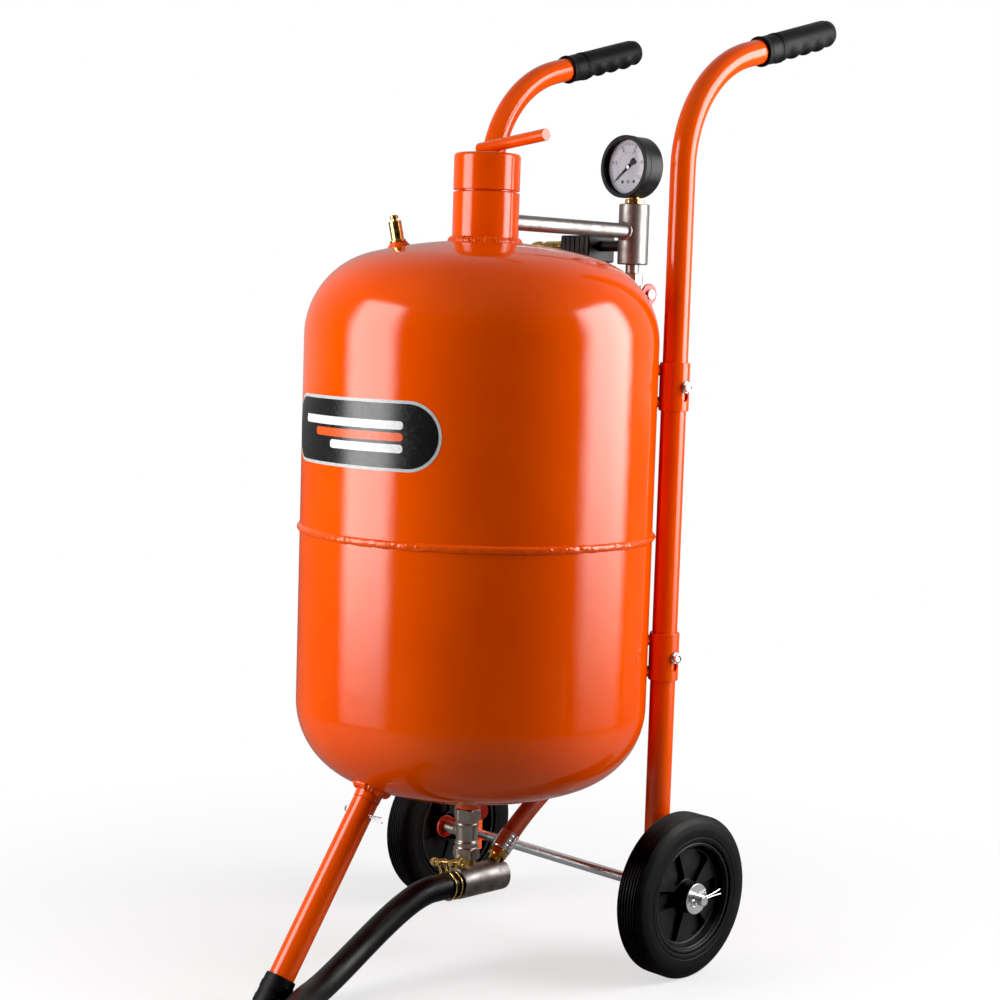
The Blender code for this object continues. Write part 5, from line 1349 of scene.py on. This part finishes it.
def hoses():
    upper_end = Vector((0, TEE_Y, mid("air_valve_body").z - size("air_valve_body").z / 2))
    hose_end("hose_fitting_upper", stand(upper_end, -Z, X))
    spot, rise = air_port()
    hose_end("hose_fitting_lower", stand(spot, rise, X))

    knee = Vector((0, TEE_Y - 0.0020, 0.3300))
    lead = spot + rise * 0.0310
    path = [spot + rise * 0.0120, spot + rise * 0.0215]
    path += bezier(lead, lead + rise * 0.0900, knee - Z * 0.1200, knee, 40)
    path += bezier(knee, knee + Z * 0.06, upper_end - Z * 0.14, upper_end - Z * 0.0620, 14)[1:]
    path += [upper_end - Z * 0.0400, upper_end - Z * 0.0120]
    stand_in(tube("air_hose_fine", path, 0.0100, 40, 0.0060, ends=(rise, Z)), "air_hose")

    start = Vector((0, AXIS.y - 0.0145, MIXER_Z))
    rest = low("blast_hose").z + 0.0142
    leave = start - Y * 0.0320
    touch = Vector((0.0276, AXIS.y - 0.2340, rest))
    way = Vector((0.45, -0.89, 0)).normalized()
    end = Vector((0.1350, AXIS.y - 0.3300, rest))
    away = Vector((0.95, -0.30, 0)).normalized()
    path = [start, start - Y * 0.0100, start - Y * 0.0210]
    path += bezier(leave, leave - Y * 0.048, touch - 0.086 * way, touch, 60)
    path += bezier(touch, touch + 0.05 * way, end - 0.05 * away, end, 34)[1:]
    pipe = tube("blast_hose_fine", path, 0.0142, 48, 0.0098, side=Z, ends=(-Y, path[-1] - path[-2]))
    stand_in(pipe, "blast_hose")


def hose_clamp():
    """Twin-wire clip: two hoops, their lugs and the long screw across the top."""
    middle = Vector((0, AXIS.y - 0.0230, MIXER_Z))
    tilt = Matrix.Rotation(math.radians(-11), 4, "Y")
    at = Matrix.Translation(middle) @ tilt
    major, wire, screw_z = 0.0142 + 0.0013, 0.0011, 0.0245
    parts = []
    for y in (-0.0042, 0.0042):
        path = []
        for k in range(49):
            t = math.radians(90 + 28 + (360 - 56) * k / 48)
            path.append(at @ Vector((major * math.cos(t), y, major * math.sin(t))))
        ends = [at @ Vector((x, y, screw_z + 0.001)) for x in (-0.0100, 0.0100)]
        path = [ends[0]] + path + [ends[1]]
        parts.append(tube("hoop", path, wire, 16, side=Y))
    for x in (-0.0100, 0.0100):
        barrel = rod("barrel", at @ Vector((x, -0.0062, screw_z)),
                     at @ Vector((x, 0.0062, screw_z)), 0.0034, 32)
        parts.append(barrel)
    rows = [(0.0006, -0.0262)] + soften([(0.0021, -0.0262), (0.0021, -0.0240)])
    for k in range(96):
        z = -0.0236 + 0.0440 * k / 95
        rows.append((0.0021 + 0.00032 * math.cos(math.tau * k / 6), z))
    head = [(0.0006, 0.0195)] + hexed(0.0042, 0.0195, 0.0238) + soften([(0.0030, 0.0238), (0.0026, 0.0226),
                                                                        (0.0006, 0.0226)])
    nut = [(0.0020, -0.0232)] + hexed(0.0040, -0.0232, -0.0184) + [(0.0020, -0.0184)]
    way = stand(at @ Vector((0, 0, screw_z)), at.to_3x3() @ X, Y)
    parts.append(turned("screw", rows, way, 32))
    parts.append(turned("head", head, way, 48))
    parts.append(turned("nut", nut, way, 48, loop=True))
    stand_in(fuse(*parts), "hose_clamp")


# ---- label -------------------------------------------------------------------
def label():
    """Plain pill-shaped film with a pale border and three bars, no lettering."""
    span, bottom, top = math.radians(71.0), 0.5420, 0.6120
    height = top - bottom
    width = span * TANK_R
    centre_z = (bottom + top) / 2

    def sheet(half_w, half_h, corner, offset, shift_x=0.0, shift_z=0.0):
        """Rounded rectangle wrapped on the tank."""
        outline = []
        across, up = half_w - corner, half_h - corner
        for cx, cz, first in ((across, up, 0), (-across, up, 90), (-across, -up, 180), (across, -up, 270)):
            outline += arc((cx, cz), corner, first, first + 90, 12)
        columns = sorted({round(x, 6) for x, _ in outline} | {half_w * (2 * k / 60 - 1) for k in range(61)})
        rows = 3
        grid = []
        for x in columns:
            reach = abs(x) - (half_w - corner)
            tall = half_h
            if reach > 0:
                tall = half_h - corner + math.sqrt(max(0.0, corner ** 2 - reach ** 2))
            column = []
            for k in range(rows + 1):
                z = tall * (2 * k / rows - 1)
                turn = -math.pi / 2 + (x + shift_x) / TANK_R
                pair = []
                for r in (TANK_R + offset, TANK_R + offset - 0.00012):
                    height_here = centre_z + z + shift_z
                    pair.append(AXIS + Vector((r * math.cos(turn), r * math.sin(turn), height_here)))
                column.append(pair)
            grid.append(column)
        return grid

    def build(name, look, *args):
        grid = sheet(*args)
        bm = bmesh.new()
        front = [[bm.verts.new(pair[0]) for pair in column] for column in grid]
        back = [[bm.verts.new(pair[1]) for pair in column] for column in grid]
        for i in range(len(grid) - 1):
            for k in range(len(grid[0]) - 1):
                bm.faces.new((front[i][k], front[i + 1][k], front[i + 1][k + 1], front[i][k + 1]))
                bm.faces.new((back[i][k], back[i][k + 1], back[i + 1][k + 1], back[i + 1][k]))
            bm.faces.new((front[i][0], back[i][0], back[i + 1][0], front[i + 1][0]))
            bm.faces.new((front[i][-1], front[i + 1][-1], back[i + 1][-1], back[i][-1]))
        for i in (0, -1):
            for k in range(len(grid[0]) - 1):
                bm.faces.new((front[i][k], front[i][k + 1], back[i][k + 1], back[i][k]))
        bmesh.ops.remove_doubles(bm, verts=bm.verts, dist=0.000001)
        bmesh.ops.recalc_face_normals(bm, faces=bm.faces)
        mesh = bpy.data.meshes.new(name)
        bm.to_mesh(mesh)
        bm.free()
        obj = bpy.data.objects.new(name, mesh)
        bpy.context.scene.collection.objects.link(obj)
        extra(obj, "upper_shell", look=look)

    build("label_border", LABEL_EDGE, width / 2, height / 2, height / 2, 0.00030)
    build("label_field", LABEL_FILM, width / 2 - 0.0032, height / 2 - 0.0032, height / 2 - 0.0032, 0.00048)
    bar_h = 0.0042
    build("label_bar_upper", LABEL_PALE, 0.0760, bar_h, bar_h * 0.9, 0.00064, 0.0, 0.0105)
    build("label_bar_middle", LABEL_WARM, 0.0620, bar_h, bar_h * 0.9, 0.00064, 0.0140, -0.0010)
    build("label_bar_lower", LABEL_PALE, 0.0480, bar_h, bar_h * 0.9, 0.00064, 0.0280, -0.0125)


# ---- studio ------------------------------------------------------------------
CAMERA_PLACE = Vector((1.5363, -1.1859, 0.6959))
CAMERA_HEADING = 0.8009           # radians from +Y towards -X
CAMERA_DIP = 0.0914
CAMERA_ROLL = 0.0318
CAMERA_LENS = 71.79


def camera():
    ahead = Vector((-math.sin(CAMERA_HEADING), math.cos(CAMERA_HEADING), 0))
    side = Vector((math.cos(CAMERA_HEADING), math.sin(CAMERA_HEADING), 0))
    look = ahead * math.cos(CAMERA_DIP) - Z * math.sin(CAMERA_DIP)
    over = Z * math.cos(CAMERA_DIP) + ahead * math.sin(CAMERA_DIP)
    right = side * math.cos(CAMERA_ROLL) + over * math.sin(CAMERA_ROLL)
    top = over * math.cos(CAMERA_ROLL) - side * math.sin(CAMERA_ROLL)
    data = bpy.data.cameras.new("camera")
    data.lens = CAMERA_LENS
    data.sensor_width = 36.0
    data.clip_start, data.clip_end = 0.05, 60.0
    obj = bpy.data.objects.new("camera", data)
    turn = Matrix((right, top, -look)).transposed().to_4x4()
    obj.matrix_world = Matrix.Translation(CAMERA_PLACE) @ turn
    bpy.context.scene.collection.objects.link(obj)
    bpy.context.scene.camera = obj


def softbox(name, azimuth, half_width, full_at, top, strength, distance=1.2):
    """Upright cloth light beside the tank, dim near the floor and full from full_at up;
    azimuth in degrees from +X."""
    t = math.radians(azimuth)
    out = Vector((math.cos(t), math.sin(t), 0))
    across = Vector((-math.sin(t), math.cos(t), 0))
    place = AXIS + out * distance
    bm = bmesh.new()
    corners = ((-1, 0.01), (1, 0.01), (1, top), (-1, top))
    bm.faces.new([bm.verts.new(place + across * (1.35 * half_width * a) + Z * z) for a, z in corners])
    mesh = bpy.data.meshes.new(name)
    bm.to_mesh(mesh)
    bm.free()
    obj = bpy.data.objects.new(name, mesh)
    bpy.context.scene.collection.objects.link(obj)
    obj.visible_camera = False

    m = Finish(name)
    at = m.place()
    apart = m.add("VectorMath", {0: at, 1: place}, operation="SUBTRACT")
    along = m.add("VectorMath", {0: apart, 1: across}, operation="DOT_PRODUCT", output="Value")
    height = m.add("SeparateXYZ", {0: at}, output="Z")
    side_fade = m.span(m.sum(along, 0.0, "ABSOLUTE"), 0.62 * half_width, 1.30 * half_width, 1.0, 0.0)
    low_fade = m.span(height, -0.05, full_at, 0.0, 1.0)
    high_fade = m.span(height, top - 0.15, top, 1.0, 0.0)
    level = m.sum(m.sum(side_fade, low_fade, "MULTIPLY"), high_fade, "MULTIPLY")
    glow = m.add("Emission", {"Color": (1, 1, 1), "Strength": m.sum(level, strength, "MULTIPLY")})
    output = next(n for n in m.tree.nodes if n.type == "OUTPUT_MATERIAL")
    m.feed(output.inputs["Surface"], glow)
    mesh.materials.append(m.material)


def studio():
    """White sweep and a floor that glows white, with a painted shade round the tank, dim room behind the
    camera, two tall boxes and a top light.
    """
    scene = bpy.context.scene
    scene.view_settings.view_transform = "Standard"
    scene.view_settings.use_curve_mapping = True
    scene.view_settings.curve_mapping.black_level = (0.005, 0.005, 0.005)
    world = bpy.data.worlds.new("studio")
    world.use_nodes = True
    scene.world = world
    g = Graph(world.node_tree)
    way = g.add("TexCoord", output="Generated")
    back = Vector((-math.sin(CAMERA_HEADING), math.cos(CAMERA_HEADING), 0.0))
    facing = g.add("VectorMath", {0: way, 1: back}, operation="DOT_PRODUCT", output="Value")
    overhead = g.add("VectorMath", {0: way, 1: Z}, operation="DOT_PRODUCT", output="Value")
    room = g.sum(g.span(facing, 0.10, 0.85, 0.02, 0.42), g.span(overhead, 0.10, 0.90, 0.0, 0.22))
    seen = g.add("LightPath", output="Is Camera Ray")
    colour = g.mix(seen, g.add("CombineColor", {0: room, 1: room, 2: room}), (1, 1, 1))
    background = world.node_tree.nodes["Background"]
    g.feed(background.inputs["Color"], colour)

    softbox("left_box", -113, 0.38, 0.42, 1.55, 7.4)
    softbox("right_box", 40.6, 0.41, 0.75, 1.55, 9.4)

    bm = bmesh.new()
    bmesh.ops.create_circle(bm, cap_ends=True, segments=128, radius=14.0)
    mesh = bpy.data.meshes.new("floor")
    bm.to_mesh(mesh)
    bm.free()
    floor = bpy.data.objects.new("floor", mesh)
    scene.collection.objects.link(floor)
    m = Finish("floor")
    at = m.place()
    apart = m.add("VectorMath", {0: at, 1: AXIS}, operation="DISTANCE", output="Value")
    grain = m.noise(at, 18.0, 3.0)
    m.bumps((grain, 0.00005))
    seen = m.add("LightPath", output="Is Camera Ray")
    pale = m.mix(grain, (0.86, 0.855, 0.855), (0.89, 0.885, 0.885))
    m.give(base_color=m.mix(seen, (0.26, 0.26, 0.26), pale), roughness=0.5, specular_ior_level=0.1)
    # Painted light and shade: camera rays see the floor glow white, fully far off and less near the tank
    # axis. This leaves a painted darker pool round the tank on top of the real shadows in the diffuse part.
    far = m.add("Emission", {"Color": (1, 1, 1)})
    output = next(n for n in m.tree.nodes if n.type == "OUTPUT_MATERIAL")
    share = m.sum(m.span(apart, 0.10, 0.95, 0.58, 1.0), seen, "MULTIPLY")
    both = m.add("MixShader", {0: share, 1: m.shader.outputs[0], 2: far})
    m.feed(output.inputs["Surface"], both)
    mesh.materials.append(m.material)


# ---- assembly ----------------------------------------------------------------
tank()
girth_weld()
filler_neck()
cap()
safety_valve()
for side, word in ((-1, "left"), (1, "right")):
    handle(side, word)
    grip(side, word)
    for level in ("lower", "upper"):
        bracket(side, level, word)
    hub(side, word)
    tyre(side, word)
axle_and_pins()
front_leg()
manifold()
gauge()
moisture_filter()
valves()
mixer()
hoses()
hose_clamp()
label()
studio()
camera()
